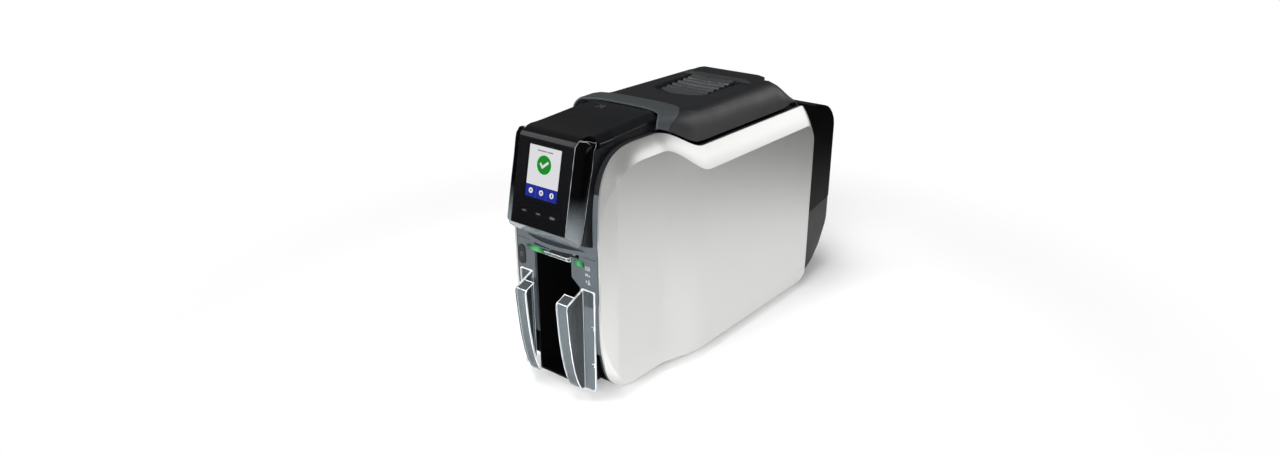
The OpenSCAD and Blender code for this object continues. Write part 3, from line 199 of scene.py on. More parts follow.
charcoal_abs = moulded_abs("charcoal_abs", "#1C1D1F", 0.42)
fascia_abs = moulded_abs("fascia_abs", "#464C50", 0.4)
satin_black_abs = moulded_abs("satin_black_abs", "#0E0F11", 0.3)
deep_black_abs = moulded_abs("deep_black_abs", "#040405", 0.5)
cover_abs = moulded_abs("cover_abs", "#131416", 0.5, grain_depth=0.06, sheen_level=1.0)
ribbed_abs = moulded_abs("ribbed_abs", "#303234", 0.26, grain_depth=0.03, sheen_level=1.0)
collar_abs = moulded_abs("collar_abs", "#34383A", 0.36, sheen_level=0.7)
print("moulded finishes ready")

# %% [markdown]
# ## Silver paint on the side panels
#
# The side panels are ABS sprayed with a fine metallic basecoat and a satin
# clear coat. Tiny aluminium flakes lie almost flat in it, so it brightens
# and darkens like metal with the viewing angle, but softer. Flakes of about
# 0.05 mm can't be seen at this size, so the sparkle here is drawn coarser
# and repeats every 0.625 mm.

# %% Make the silver paint
def silver_paint():
    material, tree, output = start_material("silver_paint")
    place = add_node(tree, "ShaderNodeTexCoord")
    flakes = add_node(tree, "ShaderNodeTexNoise", inputs={
        "Vector": place.outputs["Object"], "Scale": per_metre(1, 0.625), "Detail": 1.0,
    })
    tone = add_node(tree, "ShaderNodeMix", {"data_type": "RGBA"}, inputs={
        "Factor": flakes.outputs["Fac"],
    })
    tone.inputs["A"].default_value = linear_colour("#D2D2D0")
    tone.inputs["B"].default_value = linear_colour("#DEDEDC")
    bump = add_node(tree, "ShaderNodeBump", inputs={
        "Height": flakes.outputs["Fac"], "Strength": 0.05, "Distance": 0.0001,
    })
    shader = add_node(tree, "ShaderNodeBsdfPrincipled", inputs={
        "Base Color": tone.outputs["Result"], "Metallic": 0.85, "Roughness": 0.33,
        "Normal": bump.outputs["Normal"], "Coat Weight": 0.25, "Coat Roughness": 0.3,
    })
    tree.links.new(shader.outputs["BSDF"], output.inputs["Surface"])
    return material


panel_silver = silver_paint()
print("silver paint ready")

# %% [markdown]
# ## Polished ABS
#
# The door's face and the rear cover are ABS from a polished tool, which
# mirrors the room weakly because its IOR is about 1.5. Wiping leaves faint
# marks, so a broad noise, six marks in 100 mm, lets the roughness wander.

# %% Make polished ABS
def polished_abs(name, colour, roughness, sheen_level=0.5):
    material, tree, output = start_material(name)
    place = add_node(tree, "ShaderNodeTexCoord")
    wipe = add_node(tree, "ShaderNodeTexNoise", inputs={
        "Vector": place.outputs["Object"], "Scale": per_metre(6, 100), "Detail": 3.0,
    })
    rough = add_node(tree, "ShaderNodeMapRange", inputs={
        "Value": wipe.outputs["Fac"], "To Min": roughness * 0.7, "To Max": roughness * 1.4,
    })
    shader = add_node(tree, "ShaderNodeBsdfPrincipled", inputs={
        "Base Color": linear_colour(colour), "Roughness": rough.outputs["Result"], "IOR": 1.54,
        "Specular IOR Level": sheen_level,
    })
    tree.links.new(shader.outputs["BSDF"], output.inputs["Surface"])
    return material


piano_black = polished_abs("piano_black", "#08080A", 0.12)
rear_gloss = polished_abs("rear_gloss", "#040405", 0.2, sheen_level=0.05)
display_cover = polished_abs("display_cover", "#08090B", 0.05)
print("polished finishes ready")

# %% [markdown]
# ## Clear polycarbonate
#
# The wings and the card guide are clear polycarbonate with an IOR of 1.58.
# Real refraction through walls this thin is slow and noisy to render, so
# each wall is a mix: a tinted transparent share, and a glossy share that
# grows by Fresnel where the eye grazes the wall. The melt leaves faint
# upright flow lines as it fills the tool. A noise stretched along the
# height draws 13 of them in 50 mm, and a broad haze, nine clouds in 200 mm,
# varies the polish.

# %% Make clear polycarbonate
def polycarbonate(name, tint, shine, cloud, roughness=0.05, painted_glow=0.0):
    """tint is what a wall lets through, shine how much it gives back face on."""
    material, tree, output = start_material(name)
    place = add_node(tree, "ShaderNodeTexCoord")
    haze = add_node(tree, "ShaderNodeTexNoise", inputs={
        "Vector": place.outputs["Object"], "Scale": per_metre(9, 200), "Detail": 2.0,
    })
    rough = add_node(tree, "ShaderNodeMapRange", inputs={
        "Value": haze.outputs["Fac"], "To Min": roughness * 0.6, "To Max": roughness * 1.6,
    })
    # painted_glow makes the glossy share glow in its cloud colour, a painted highlight; it is 0
    # unless given.
    gloss = add_node(tree, "ShaderNodeBsdfPrincipled", inputs={
        "Base Color": linear_colour(cloud), "Roughness": rough.outputs["Result"], "IOR": 1.58,
        "Emission Color": linear_colour(cloud), "Emission Strength": painted_glow,
    })
    clear = add_node(tree, "ShaderNodeBsdfTransparent", inputs={"Color": linear_colour(tint)})
    edge = add_node(tree, "ShaderNodeFresnel", inputs={"IOR": 1.58})
    stretch = add_node(tree, "ShaderNodeMapping", inputs={
        "Vector": place.outputs["Object"], "Scale": (1.0, 1.0, 0.08),
    })
    flow_lines = add_node(tree, "ShaderNodeTexNoise", inputs={
        "Vector": stretch.outputs["Vector"], "Scale": per_metre(13, 50), "Detail": 1.0,
    })
    flow = add_node(tree, "ShaderNodeMapRange", inputs={
        "Value": flow_lines.outputs["Fac"], "From Min": 0.3, "From Max": 0.7,
        "To Min": shine * 0.4, "To Max": shine * 1.6,
    })
    amount = add_node(tree, "ShaderNodeMapRange", inputs={
        "Value": edge.outputs["Fac"], "From Min": 0.05, "From Max": 0.7,
        "To Min": flow.outputs["Result"], "To Max": 1.0,
    })
    mix = add_node(tree, "ShaderNodeMixShader", inputs={"Fac": amount.outputs["Result"]})
    tree.links.new(clear.outputs["BSDF"], mix.inputs[1])
    tree.links.new(gloss.outputs["BSDF"], mix.inputs[2])
    tree.links.new(mix.outputs["Shader"], output.inputs["Surface"])
    return material


clear_wing = polycarbonate("clear_wing", "#E6EAEC", 0.17, "#74797C")
# Paler, glossier clear finish for the visor's bevels: a painted highlight along its edges.
painted_highlight_bevel = polycarbonate("painted_highlight_bevel", "#C9CFD1", 0.5, "#8B9396")
print("clear finishes ready")

# %% [markdown]
# ## The visor's smoked plastic
#
# The visor is one polycarbonate moulding, smoked nearly black over most of
# its height and almost clear at its lower lip. A smooth step of the height
# drives both what passes through and how dark the body looks. The pale grey
# body low down is partly that clear lip and partly a painted reflection on
# the glossy side.

# %% Make the smoked visor's plastic
def smoked_to_clear_with_painted_reflection(name, clear_below, smoked_above):
    """Smoked polycarbonate that turns pale grey towards the lower lip, partly clear plastic and
    partly a painted reflection; heights in metres.
    """
    material, tree, output = start_material(name)
    place = add_node(tree, "ShaderNodeTexCoord")
    split = add_node(tree, "ShaderNodeSeparateXYZ", inputs={"Vector": place.outputs["Object"]})
    haze = add_node(tree, "ShaderNodeTexNoise", inputs={
        "Vector": place.outputs["Object"], "Scale": per_metre(9, 200), "Detail": 2.0,
    })
    rough = add_node(tree, "ShaderNodeMapRange", inputs={
        "Value": haze.outputs["Fac"], "To Min": 0.03, "To Max": 0.08,
    })
    dye_and_painted_reflection = add_node(tree, "ShaderNodeMapRange", {"interpolation_type": "SMOOTHSTEP"}, {
        "Value": split.outputs["Z"], "From Min": clear_below, "From Max": smoked_above,
    })
    through = add_node(tree, "ShaderNodeMix", {"data_type": "RGBA"}, {
        "Factor": dye_and_painted_reflection.outputs["Result"],
    })
    through.inputs["A"].default_value = linear_colour("#A9AFB2")
    through.inputs["B"].default_value = linear_colour("#26272A")
    # Painted reflection: the body turns pale grey towards the lower lip, partly the clear lip and
    # partly a painted reflection.
    body = add_node(tree, "ShaderNodeMix", {"data_type": "RGBA"}, {"Factor": dye_and_painted_reflection.outputs["Result"]})
    body.inputs["A"].default_value = linear_colour("#7C8386")
    body.inputs["B"].default_value = linear_colour("#060607")
    share = add_node(tree, "ShaderNodeMapRange", inputs={
        "Value": dye_and_painted_reflection.outputs["Result"], "To Min": 0.5, "To Max": 0.35,
    })
    gloss = add_node(tree, "ShaderNodeBsdfPrincipled", inputs={
        "Base Color": body.outputs["Result"], "Roughness": rough.outputs["Result"], "IOR": 1.58,
    })
    clear = add_node(tree, "ShaderNodeBsdfTransparent", inputs={"Color": through.outputs["Result"]})
    edge = add_node(tree, "ShaderNodeFresnel", inputs={"IOR": 1.58})
    amount = add_node(tree, "ShaderNodeMapRange", inputs={
        "Value": edge.outputs["Fac"], "From Min": 0.05, "From Max": 0.7,
        "To Min": share.outputs["Result"], "To Max": 1.0,
    })
    mix = add_node(tree, "ShaderNodeMixShader", inputs={"Fac": amount.outputs["Result"]})
    tree.links.new(clear.outputs["BSDF"], mix.inputs[1])
    tree.links.new(gloss.outputs["BSDF"], mix.inputs[2])
    tree.links.new(mix.outputs["Shader"], output.inputs["Surface"])
    return material


smoked_visor = smoked_to_clear_with_painted_reflection("smoked_visor", 0.176, 0.215)
print("smoked finish ready")

# %% [markdown]
# ## Lit light guides
#
# Two green light guides mark the card slot. Each is frosted plastic with a
# lamp behind its middle, so it glows there and is deep green at its ends.
# Distance from the middle gives that fade, and a noise with 21 specks in
# 50 mm frosts it.

# %% Make the lit light guides
def frosted_light(name, node_name, reach_mm):
    low, high = (Vector(corner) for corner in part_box(node_name))
    material, tree, output = start_material(name)
    place = add_node(tree, "ShaderNodeTexCoord")
    cloud = add_node(tree, "ShaderNodeTexNoise", inputs={
        "Vector": place.outputs["Object"], "Scale": per_metre(21, 50), "Detail": 2.0,
    })
    from_lamp = add_node(tree, "ShaderNodeVectorMath", {"operation": "DISTANCE"}, {
        0: place.outputs["Object"], 1: (low + high) / 2,
    })
    fade = add_node(tree, "ShaderNodeMapRange", {"interpolation_type": "SMOOTHSTEP"}, {
        "Value": from_lamp.outputs["Value"], "From Min": 0.0, "From Max": reach_mm / 1000,
        "To Min": 1.0, "To Max": 0.0,
    })
    glow = add_node(tree, "ShaderNodeMath", {"operation": "MULTIPLY"}, {
        0: fade.outputs["Result"], 1: cloud.outputs["Fac"],
    })
    level = add_node(tree, "ShaderNodeMapRange", inputs={
        "Value": glow.outputs["Value"], "From Min": 0.0, "From Max": 0.6,
        "To Min": 0.03, "To Max": 0.95,
    })
    shader = add_node(tree, "ShaderNodeBsdfPrincipled", inputs={
        "Base Color": linear_colour("#0B3A1C"), "Roughness": 0.25,
        "Emission Color": linear_colour("#3FC468"), "Emission Strength": level.outputs["Result"],
    })
    tree.links.new(shader.outputs["BSDF"], output.inputs["Surface"])
    return material


left_green = frosted_light("left_green", "slot_light_left", 10.0)
right_green = frosted_light("right_green", "slot_light_right", 7.0)
print("light guides ready")

# %% [markdown]
# ## Metals, rubber and the rest inside
#
# Behind the covers are zinc-plated sheet steel, an aluminium supply case, a
# turned brass pinion, acetal gears and soft rubber rollers. Plated steel
# shows faint rolling lines along the sheet, drawn here about 1 mm apart.

# %% Make the inner finishes
def rolled_metal(name, colour, roughness, line_mm=1.0):
    material, tree, output = start_material(name)
    place = add_node(tree, "ShaderNodeTexCoord")
    stretch = add_node(tree, "ShaderNodeMapping", inputs={
        "Vector": place.outputs["Object"], "Scale": (1.0, 0.04, 1.0),
    })
    lines = add_node(tree, "ShaderNodeTexNoise", inputs={
        "Vector": stretch.outputs["Vector"], "Scale": per_metre(1, line_mm), "Detail": 3.0,
    })
    rough = add_node(tree, "ShaderNodeMapRange", inputs={
        "Value": lines.outputs["Fac"], "To Min": roughness - 0.08, "To Max": roughness + 0.08,
    })
    shader = add_node(tree, "ShaderNodeBsdfPrincipled", inputs={
        "Base Color": linear_colour(colour), "Metallic": 1.0, "Roughness": rough.outputs["Result"],
    })
    tree.links.new(shader.outputs["BSDF"], output.inputs["Surface"])
    return material


plated_steel = rolled_metal("plated_steel", "#B9BBBE", 0.34)
cast_aluminium = rolled_metal("cast_aluminium", "#C6C7C9", 0.45, 2.0)
turned_brass = rolled_metal("turned_brass", "#C9A45C", 0.3)
soft_rubber = moulded_abs("soft_rubber", "#1A1A1B", 0.75, 0.5, 0.2)
tacky_blue_rubber = moulded_abs("tacky_blue_rubber", "#2F6DA8", 0.3, 0.8, 0.05)
natural_acetal = moulded_abs("natural_acetal", "#E6E1D4", 0.4, 0.5, 0.05)
green_solder_mask = moulded_abs("green_solder_mask", "#1D5B33", 0.35, 1.2, 0.08)
ribbon_film = polished_abs("ribbon_film", "#5A1233", 0.18)
print("inner finishes ready")

# %% [markdown]
# ## Which piece has which finish
#
# The CAD names every piece, so one table can say what each is made of. The
# check at its end shows that no piece keeps the plain colour it came with.

# %% Give every CAD piece its finish
finishes = {
    fascia_abs: "front_fascia",
    charcoal_abs: "base_housing input_hopper rear_lower_cover reject_bin "
                  "cover_liner flip_table power_button",
    satin_black_abs: "head_housing menu_button_left menu_button_middle menu_button_right",
    deep_black_abs: "bay_liner power_inlet",
    cover_abs: "top_cover cover_crown",
    ribbed_abs: "release_tab",
    collar_abs: "cover_collar",
    panel_silver: "side_panel_right side_panel_left",
    piano_black: "front_door",
    rear_gloss: "rear_cover",
    clear_wing: "wing_right wing_left card_guide",
    smoked_visor: "visor_lens",
    left_green: "slot_light_left",
    right_green: "slot_light_right",
    display_cover: "display_glass",
    plated_steel: "path_plate frame_plate_right frame_plate_left frame_ties panel_screws "
                  "hinge_pins head_bracket usb_port network_port feed_motor",
    cast_aluminium: "printhead power_supply",
    turned_brass: "motor_pinion",
    soft_rubber: "rubber_feet platen_roller front_roller rear_roller front_pinch_roller "
                 "rear_pinch_roller",
    tacky_blue_rubber: "cleaning_roller",
    natural_acetal: "platen_gear front_roller_gear rear_roller_gear front_idler rear_idler "
                    "roller_bushes",
    green_solder_mask: "main_board display_module",
    ribbon_film: "supply_spool takeup_spool ribbon_film",
}
for material, names in finishes.items():
    for name in names.split():
        finish_node(name, material)
finished = sum(len(names.split()) for names in finishes.values())
print("finished", finished, "of", len(nodes), "CAD pieces")

# %% [markdown]
# ## Side panels
#
# Each side panel is one big moulding whose outline dips behind the head and
# whose face swells towards the back. A band rolls over along its edge and
# meets the face in a soft crease. The CAD draws that with coarse facets.
# Here the same formulas give a skin with many more points, and rows that
# lie exactly on the crease, so the paint shows one clean line there.

# %% Describe the panel's outline
BODY_DEPTH = 370.0
FASCIA_Y = 202.0          # distance from the fascia to the middle of the box
PANEL_LIP, PANEL_BULGE, PANEL_WALL = 2.0, 12.5, 2.4
BAND_FRONT, BAND_REAR, BAND_UNDER = 15.0, 18.0, 9.0
BAND_OVER, BAND_OVER_GAIN = 15, 7
SWELL_START, SWELL_LENGTH = 78, 58
RIM_HALF_WIDTH, RIM_GAIN = 52.0, 13.0
SHOULDER_TOP, VALLEY_TOP = 253, 230
DIP_START, DIP_LENGTH = 84, 60
FRONT_TURN, REAR_TURN = 130, 94      # heights where the end curves begin
FRONT_DROP, REAR_DROP = 127, 91      # from there down to the lower rim
FRONT_TOP, FRONT_LOW = (57, 2.6, 0.189), (45, 2.2, 0.241)   # length, power, lean
REAR_TOP, REAR_LOW = (34, 2, 0.438), (30, 2, 0.36)
TINY = 0.05                          # the end curves start this far in


def part_point(x, y, z):
    """Millimetres, with y counted back from the fascia, to scene metres."""
    return Vector((x, y - FASCIA_Y, z)) / 1000


def smooth_step(t):
    t = min(1.0, max(0.0, t))
    return t * t * (3 - 2 * t)


def corner(distance, length, power, lean):
    """A rounded corner: steep at the end of the panel, and 1 from this length on."""
    t = min(1.0, max(distance, TINY) / length)
    return (1 - (1 - t) ** power) ** lean


def swell(y):
    return smooth_step((y - SWELL_START) / SWELL_LENGTH)


def rim_x(y):
    return RIM_HALF_WIDTH + RIM_GAIN * swell(y)


def rim_top(y):
    dip = smooth_step((y - DIP_START) / DIP_LENGTH)
    wave = SHOULDER_TOP + (VALLEY_TOP - SHOULDER_TOP) * dip
    if y < BODY_DEPTH / 2:
        return FRONT_TURN + (wave - FRONT_TURN) * corner(y, *FRONT_TOP)
    return REAR_TURN + (wave - REAR_TURN) * corner(BODY_DEPTH - y, *REAR_TOP)


def rim_low(y):
    if y < BODY_DEPTH / 2:
        return FRONT_TURN - FRONT_DROP * corner(y, *FRONT_LOW)
    return REAR_TURN - REAR_DROP * corner(BODY_DEPTH - y, *REAR_LOW)


def band_over(y):
    return BAND_OVER + BAND_OVER_GAIN * swell(y)


def roll(t):
    """The band's rise from 0 to 1; it still climbs at 1, and that leaves the crease."""
    t = min(1.0, max(0.0, t))
    return t * (1.4 - 0.4 * t)


def panel_out(y, z):
    rise = roll((rim_top(y) - z) / band_over(y)) * roll((z - rim_low(y)) / BAND_UNDER)
    ends = roll((y + 1) / BAND_FRONT) * roll((BODY_DEPTH + 1 - y) / BAND_REAR)
    return rim_x(y) + PANEL_LIP + (PANEL_BULGE - PANEL_LIP) * rise * ends


print("rim height at the dip:", round(rim_top(DIP_START + DIP_LENGTH), 1), "mm")

# %% [markdown]
# ## Panel skins
#
# The skin is a grid: stations from front to back, closer together at the
# ends where the outline turns fast, and at each station a column of heights
# that is dense in the two bands and sparse on the face. An inner layer and
# a strip round the edge close it into a wall as thick as the CAD's.

# %% Build the panel skins
STATIONS, FACE_ROWS = 150, 14
panel_stations = [
    BODY_DEPTH * (1 - math.cos(math.pi * i / STATIONS)) / 2 for i in range(STATIONS + 1)
]
band_steps = [0, 0.04, 0.1, 0.2, 0.32, 0.45, 0.6, 0.8, 1.0]
face_steps = [i / FACE_ROWS for i in range(1, FACE_ROWS)]


def panel_heights(y):
    low, high = rim_low(y), rim_top(y)
    over = min(band_over(y), 0.4 * (high - low))
    under = min(BAND_UNDER, 0.4 * (high - low))
    return (
        [low + t * under for t in band_steps]
        + [low + under + t * (high - low - over - under) for t in face_steps]
        + [high - t * over for t in reversed(band_steps)]
    )


def panel_skin(side):
    builder = bmesh.new()
    layers = []
    for inset in (0.0, PANEL_WALL):
        rows = []
        for y in panel_stations:
            row = []
            for z in panel_heights(y):
                x = max(rim_x(y), panel_out(y, z) - inset)
                row.append(builder.verts.new(part_point(side * x, y, z)))
            rows.append(row)
        layers.append(rows)
    outer, inner = layers
    count = len(outer[0])
    for i in range(len(outer) - 1):
        for j in range(count - 1):
            for rows in (outer, inner):
                builder.faces.new((rows[i][j], rows[i + 1][j],
                                   rows[i + 1][j + 1], rows[i][j + 1]))
        for j in (0, count - 1):
            builder.faces.new((outer[i][j], inner[i][j], inner[i + 1][j], outer[i + 1][j]))
    for i in (0, len(outer) - 1):
        for j in range(count - 1):
            builder.faces.new((outer[i][j], outer[i][j + 1], inner[i][j + 1], inner[i][j]))
    bmesh.ops.recalc_face_normals(builder, faces=builder.faces)
    return builder


def add_piece(name, builder, material, body, edge_material=None, smooth_angle=35):
    mesh = bpy.data.meshes.new(name)
    builder.to_mesh(mesh)
    builder.free()
    mesh.materials.append(material)
    if edge_material:
        mesh.materials.append(edge_material)
    mesh.shade_smooth()
    mesh.set_sharp_from_angle(angle=math.radians(smooth_angle))
    piece = bpy.data.objects.new(name, mesh)
    scene.collection.objects.link(piece)
    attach(piece, body)
    return piece


for side, node_name in ((1, "side_panel_right"), (-1, "side_panel_left")):
    skin = add_piece(node_name + "_skin", panel_skin(side), panel_silver, "housing",
                     smooth_angle=14)
    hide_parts(node_name)
    print(skin.name, len(skin.data.polygons), "faces")

# %% [markdown]
# ## Soft edges
#
# No moulded edge is truly sharp: the tool and the polish leave a radius of
# a few tenths of a millimetre, and that radius is what catches the light.
# The CAD solids have hard edges, so the large ones that the camera sees are
# copied, their flat faces are joined up and every sharp edge gets a small
# bevel. On the visor the bevel has its own paler, glossier finish, a painted
# highlight for the light that runs along inside the plastic and comes out at
# its edges.

# %% Copy CAD pieces with bevelled edges
WELD_DISTANCE = 2e-6
bodies = frame["record"]["behaviour"]["bodies"]
body_of = {node: body for body, members in bodies.items() for node in members}


def soften(node_name, radius_mm, material, edge_material=None, sharp_angle=28):
    builder = bmesh.new()
    builder.from_mesh(nodes[node_name].data)
    bmesh.ops.remove_doubles(builder, verts=builder.verts, dist=WELD_DISTANCE)
    bmesh.ops.dissolve_limit(
        builder, angle_limit=math.radians(0.5), verts=builder.verts, edges=builder.edges,
    )
    sharp = [
        edge for edge in builder.edges
        if edge.is_manifold and edge.calc_face_angle() > math.radians(sharp_angle)
    ]
    bmesh.ops.bevel(
        builder, geom=sharp, offset=radius_mm / 1000, segments=2, profile=0.5,
        affect="EDGES", clamp_overlap=True, material=1 if edge_material else -1,
    )
    piece = add_piece(node_name + "_soft", builder, material, body_of[node_name],
                      edge_material)
    piece.modifiers.new("even_shading", "WEIGHTED_NORMAL").keep_sharp = True
    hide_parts(node_name)
    print(piece.name, len(sharp), "edges softened")


print("bodies that a copy can ride on:", len(bodies))

# %% [markdown]
# ## Painted edge highlights on the clear pieces
#
# A clear wall is brightest along its edges. A thin rod of a paler plastic
# that glows a little, partly sunk into each sharp edge, draws that line as a
# painted highlight, and it costs far less than tracing light through the
# wall. On the visor only the right rim above the lip gets rods. The rods of
# the foremost edges are cut off flat, so that none stands out of the CAD
# model's box.

# %% Draw the painted edge highlights
ROD_SIDES, ROD_SINK, ROD_OVERLAP = 6, 0.75, 0.3
ROD_CUT_BACK = 0.00002                     # metres behind the foremost point
VISOR_RIM_X, VISOR_RIM_Z = 0.03, 0.187
foremost = min(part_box(wing)[0][1] for wing in ("wing_right", "wing_left"))
FRONT_LIMIT = foremost + ROD_CUT_BACK


def edge_lines(node_name, radius_mm, material, sharp_angle=40, keep=None):
    """A thin rod of painted highlight, partly sunk, lies along each sharp edge of a clear piece."""
    source = bmesh.new()
    source.from_mesh(nodes[node_name].data)
    bmesh.ops.remove_doubles(source, verts=source.verts, dist=WELD_DISTANCE)
    builder = bmesh.new()
    radius = radius_mm / 1000
    for edge in source.edges:
        if not edge.is_manifold or edge.calc_face_angle() < math.radians(sharp_angle):
            continue
        start, end = (vert.co.copy() for vert in edge.verts)
        if keep and not keep((start + end) / 2):
            continue
        outward = (edge.link_faces[0].normal + edge.link_faces[1].normal).normalized()
        along = (end - start).normalized()
        across = along.cross(outward).normalized()
        centre_shift = -outward * radius * ROD_SINK
        ring = []
        overlap = along * radius * ROD_OVERLAP
        for point in (start - overlap, end + overlap):
            ring.append([])
            for k in range(ROD_SIDES):
                turn = 2 * math.pi * k / ROD_SIDES
                spot = point + centre_shift + radius * (
                    outward * math.cos(turn) + across * math.sin(turn))
                spot.y = max(spot.y, FRONT_LIMIT)
                ring[-1].append(builder.verts.new(spot))
        for k in range(ROD_SIDES):
            m = (k + 1) % ROD_SIDES
            builder.faces.new((ring[0][k], ring[0][m], ring[1][m], ring[1][k]))
        builder.faces.new(ring[0])
        builder.faces.new(ring[1])
    source.free()
    bmesh.ops.recalc_face_normals(builder, faces=builder.faces)
    piece = add_piece(node_name + "_edges", builder, material, body_of[node_name],
                      smooth_angle=70)
    print(piece.name, len(piece.data.polygons) // (ROD_SIDES + 2), "rods")
    return piece


# The rods are painted highlights: paler clear plastic with a faint glow of its own.
bright_edge_painted_highlight = polycarbonate("bright_edge_painted_highlight", "#F4F8FA", 0.85, "#E6EBED", 0.15, painted_glow=0.15)
dim_edge_painted_highlight = polycarbonate("dim_edge_painted_highlight", "#8B9194", 0.6, "#A9B0B4", 0.1, painted_glow=0.06)
for wing in ("wing_right", "wing_left"):
    edge_lines(wing, 0.4, bright_edge_painted_highlight)
edge_lines("card_guide", 0.25, bright_edge_painted_highlight)
# The visor's bevels take that paler finish, a painted highlight.
soften("visor_lens", 0.3, smoked_visor, painted_highlight_bevel)
edge_lines("visor_lens", 0.22, dim_edge_painted_highlight,
           keep=lambda middle: middle.x > VISOR_RIM_X and middle.z > VISOR_RIM_Z)

# %% [markdown]
# ## Which pieces are softened
#
# Only pieces that the eye meets are copied. The top and rear covers get the
# largest radius and the crisp fascia the smallest of these. The collar is a
# thin band on a curve, so only its steep edges are bevelled, or the bevel
# would draw stray lines along its facets.

# %% Soften the outer mouldings
soften("front_door", 0.5, piano_black)
soften("head_housing", 0.5, satin_black_abs)
soften("front_fascia", 0.4, fascia_abs)
soften("cover_crown", 0.6, cover_abs)
soften("rear_cover", 0.6, rear_gloss)
soften("rear_lower_cover", 0.5, charcoal_abs)
soften("top_cover", 0.6, cover_abs)
soften("cover_collar", 0.5, collar_abs, sharp_angle=60)

# %% [markdown]
# ## The ribbed release tab
#
# The tab that frees the top cover is a finger plate: a shallow dish with a
# curved lip and ribs across it, 10 mm apart. Ribs on a real tab have round
# crests, which a CAD profile of straight lines can't show. A grid of points
# follows the same outline here, and a formula lifts each point onto a rib.
# Over its pins the tab's heel slopes down, or it would dig into the cover
# when the front of the tab is lifted.

# %% Build the tab
TAB_HALF, TAB_FRONT, TAB_REAR, TAB_ARC = 26.9, 190.0, 261.1, 55.0
TAB_UNDER = 261.9
TAB_BEND, TAB_BEND_TOP = 246, 266.9        # the ribs end here, and the plate climbs steeper
PLATE_SLOPE, BACK_SLOPE = 0.0714, 0.125
DISH_DEPTH, LIP_DROP, LIP_REACH = 0.9, 1.6, 3
PIN_X, PIN_Y, PIN_Z, PIN_RADIUS, PIN_LENGTH = 28.6, 260.0, 262.5, 0.0012, 0.0035
CORNER_CUT, CORNER_FROM = 6, 0.8           # mm, and the share of the half width
RIB_PITCH, RIB_RISE = 10.0, 2.2
RIB_CREST, RIB_ROUND = 0.7, 0.8            # where in a pitch the crest is, and how full
LEAST_WALL, PLAIN_LIP, PLAIN_SINK = 0.5, 5, 0.4   # mm, mm, share of a rib's rise
HEEL_START, HEEL_TOP, HEEL_SLOPE = 258.0, 268.4, 1.4375


def tab_front_edge(x):
    rounded_corner = CORNER_CUT * max(0.0, abs(x) / TAB_HALF - CORNER_FROM)
    return TAB_FRONT + TAB_ARC - math.sqrt(TAB_ARC ** 2 - x ** 2) + rounded_corner


def tab_height(x, y):
    if y < TAB_BEND:
        plate = TAB_BEND_TOP - PLATE_SLOPE * (TAB_BEND - y)
    else:
        plate = TAB_BEND_TOP + BACK_SLOPE * (y - TAB_BEND)
    plate = min(plate, HEEL_TOP - HEEL_SLOPE * (y - HEEL_START))
    dish = DISH_DEPTH * (1 - (x / TAB_HALF) ** 2)
    from_lip = y - tab_front_edge(x)
    lip = LIP_DROP * (1 - math.sqrt(1 - (1 - min(1.0, from_lip / LIP_REACH)) ** 2))
    rise = min(RIB_RISE, plate - dish - TAB_UNDER - LEAST_WALL)
    phase = ((TAB_BEND - y) / RIB_PITCH) % 1.0
    climb = phase / RIB_CREST if phase < RIB_CREST else (1 - phase) / (1 - RIB_CREST)
    if y > TAB_BEND or from_lip < PLAIN_LIP:
        return plate - dish - lip - PLAIN_SINK * rise
    return plate - dish - rise * (1 - smooth_step(climb) ** RIB_ROUND)


TAB_LONG, TAB_WIDE = 160, 40               # cells along and across
tab_builder = bmesh.new()
tab_rows = []
for i in range(TAB_LONG + 1):
    row = []
    for j in range(TAB_WIDE + 1):
        x = TAB_HALF * (2 * j / TAB_WIDE - 1)
        y = tab_front_edge(x) + (TAB_REAR - tab_front_edge(x)) * i / TAB_LONG
        row.append((
            tab_builder.verts.new(part_point(x, y, tab_height(x, y))),
            tab_builder.verts.new(part_point(x, y, TAB_UNDER)),
        ))
    tab_rows.append(row)
for i in range(TAB_LONG):
    for j in range(TAB_WIDE):
        for k in (0, 1):
            tab_builder.faces.new((tab_rows[i][j][k], tab_rows[i + 1][j][k],
                                   tab_rows[i + 1][j + 1][k], tab_rows[i][j + 1][k]))
    for j in (0, TAB_WIDE):
        tab_builder.faces.new((tab_rows[i][j][0], tab_rows[i][j][1],
                               tab_rows[i + 1][j][1], tab_rows[i + 1][j][0]))
for i in (0, TAB_LONG):
    for j in range(TAB_WIDE):
        tab_builder.faces.new((tab_rows[i][j][0], tab_rows[i][j + 1][0],
                               tab_rows[i][j + 1][1], tab_rows[i][j][1]))
for side in (1, -1):
    bmesh.ops.create_cone(
        tab_builder, cap_ends=True, segments=24, radius1=PIN_RADIUS, radius2=PIN_RADIUS,
        depth=PIN_LENGTH,
        matrix=(Matrix.Translation(part_point(side * PIN_X, PIN_Y, PIN_Z))
                @ Matrix.Rotation(math.pi / 2, 4, "Y")),
    )
bmesh.ops.recalc_face_normals(tab_builder, faces=tab_builder.faces)
ribbed_tab = add_piece("release_tab_ribbed", tab_builder, ribbed_abs, "tab",
                       smooth_angle=50)
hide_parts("release_tab")
print("tab:", len(ribbed_tab.data.polygons), "faces")

# %% [markdown]
# ## The display's picture
#
# The display is a liquid crystal panel behind a dark cover glass, so its
# picture gives its own light. It is drawn as thin layers 0.02 or 0.03 mm
# apart just above the glass, in the slanted plane of the door: a pale area
# with a grey heading, a blue bar, a green disc with a tick and three round
# signs. Each outline is filled as one flat face, and a ring as a strip.

# %% Draw on the door's slanted face
door_tilt = math.radians(12)
face_across = Vector((1, 0, 0))
face_up = Vector((0, math.sin(door_tilt), math.cos(door_tilt)))
face_out = Vector((0, -math.cos(door_tilt), math.sin(door_tilt)))
door_lip = part_point(0, -24, 177)
PICTURE_SINK = 0.17       # lifts in the picture count from here, 0.03 mm above the glass
ARC_STEPS = 5             # in each rounded corner of a block


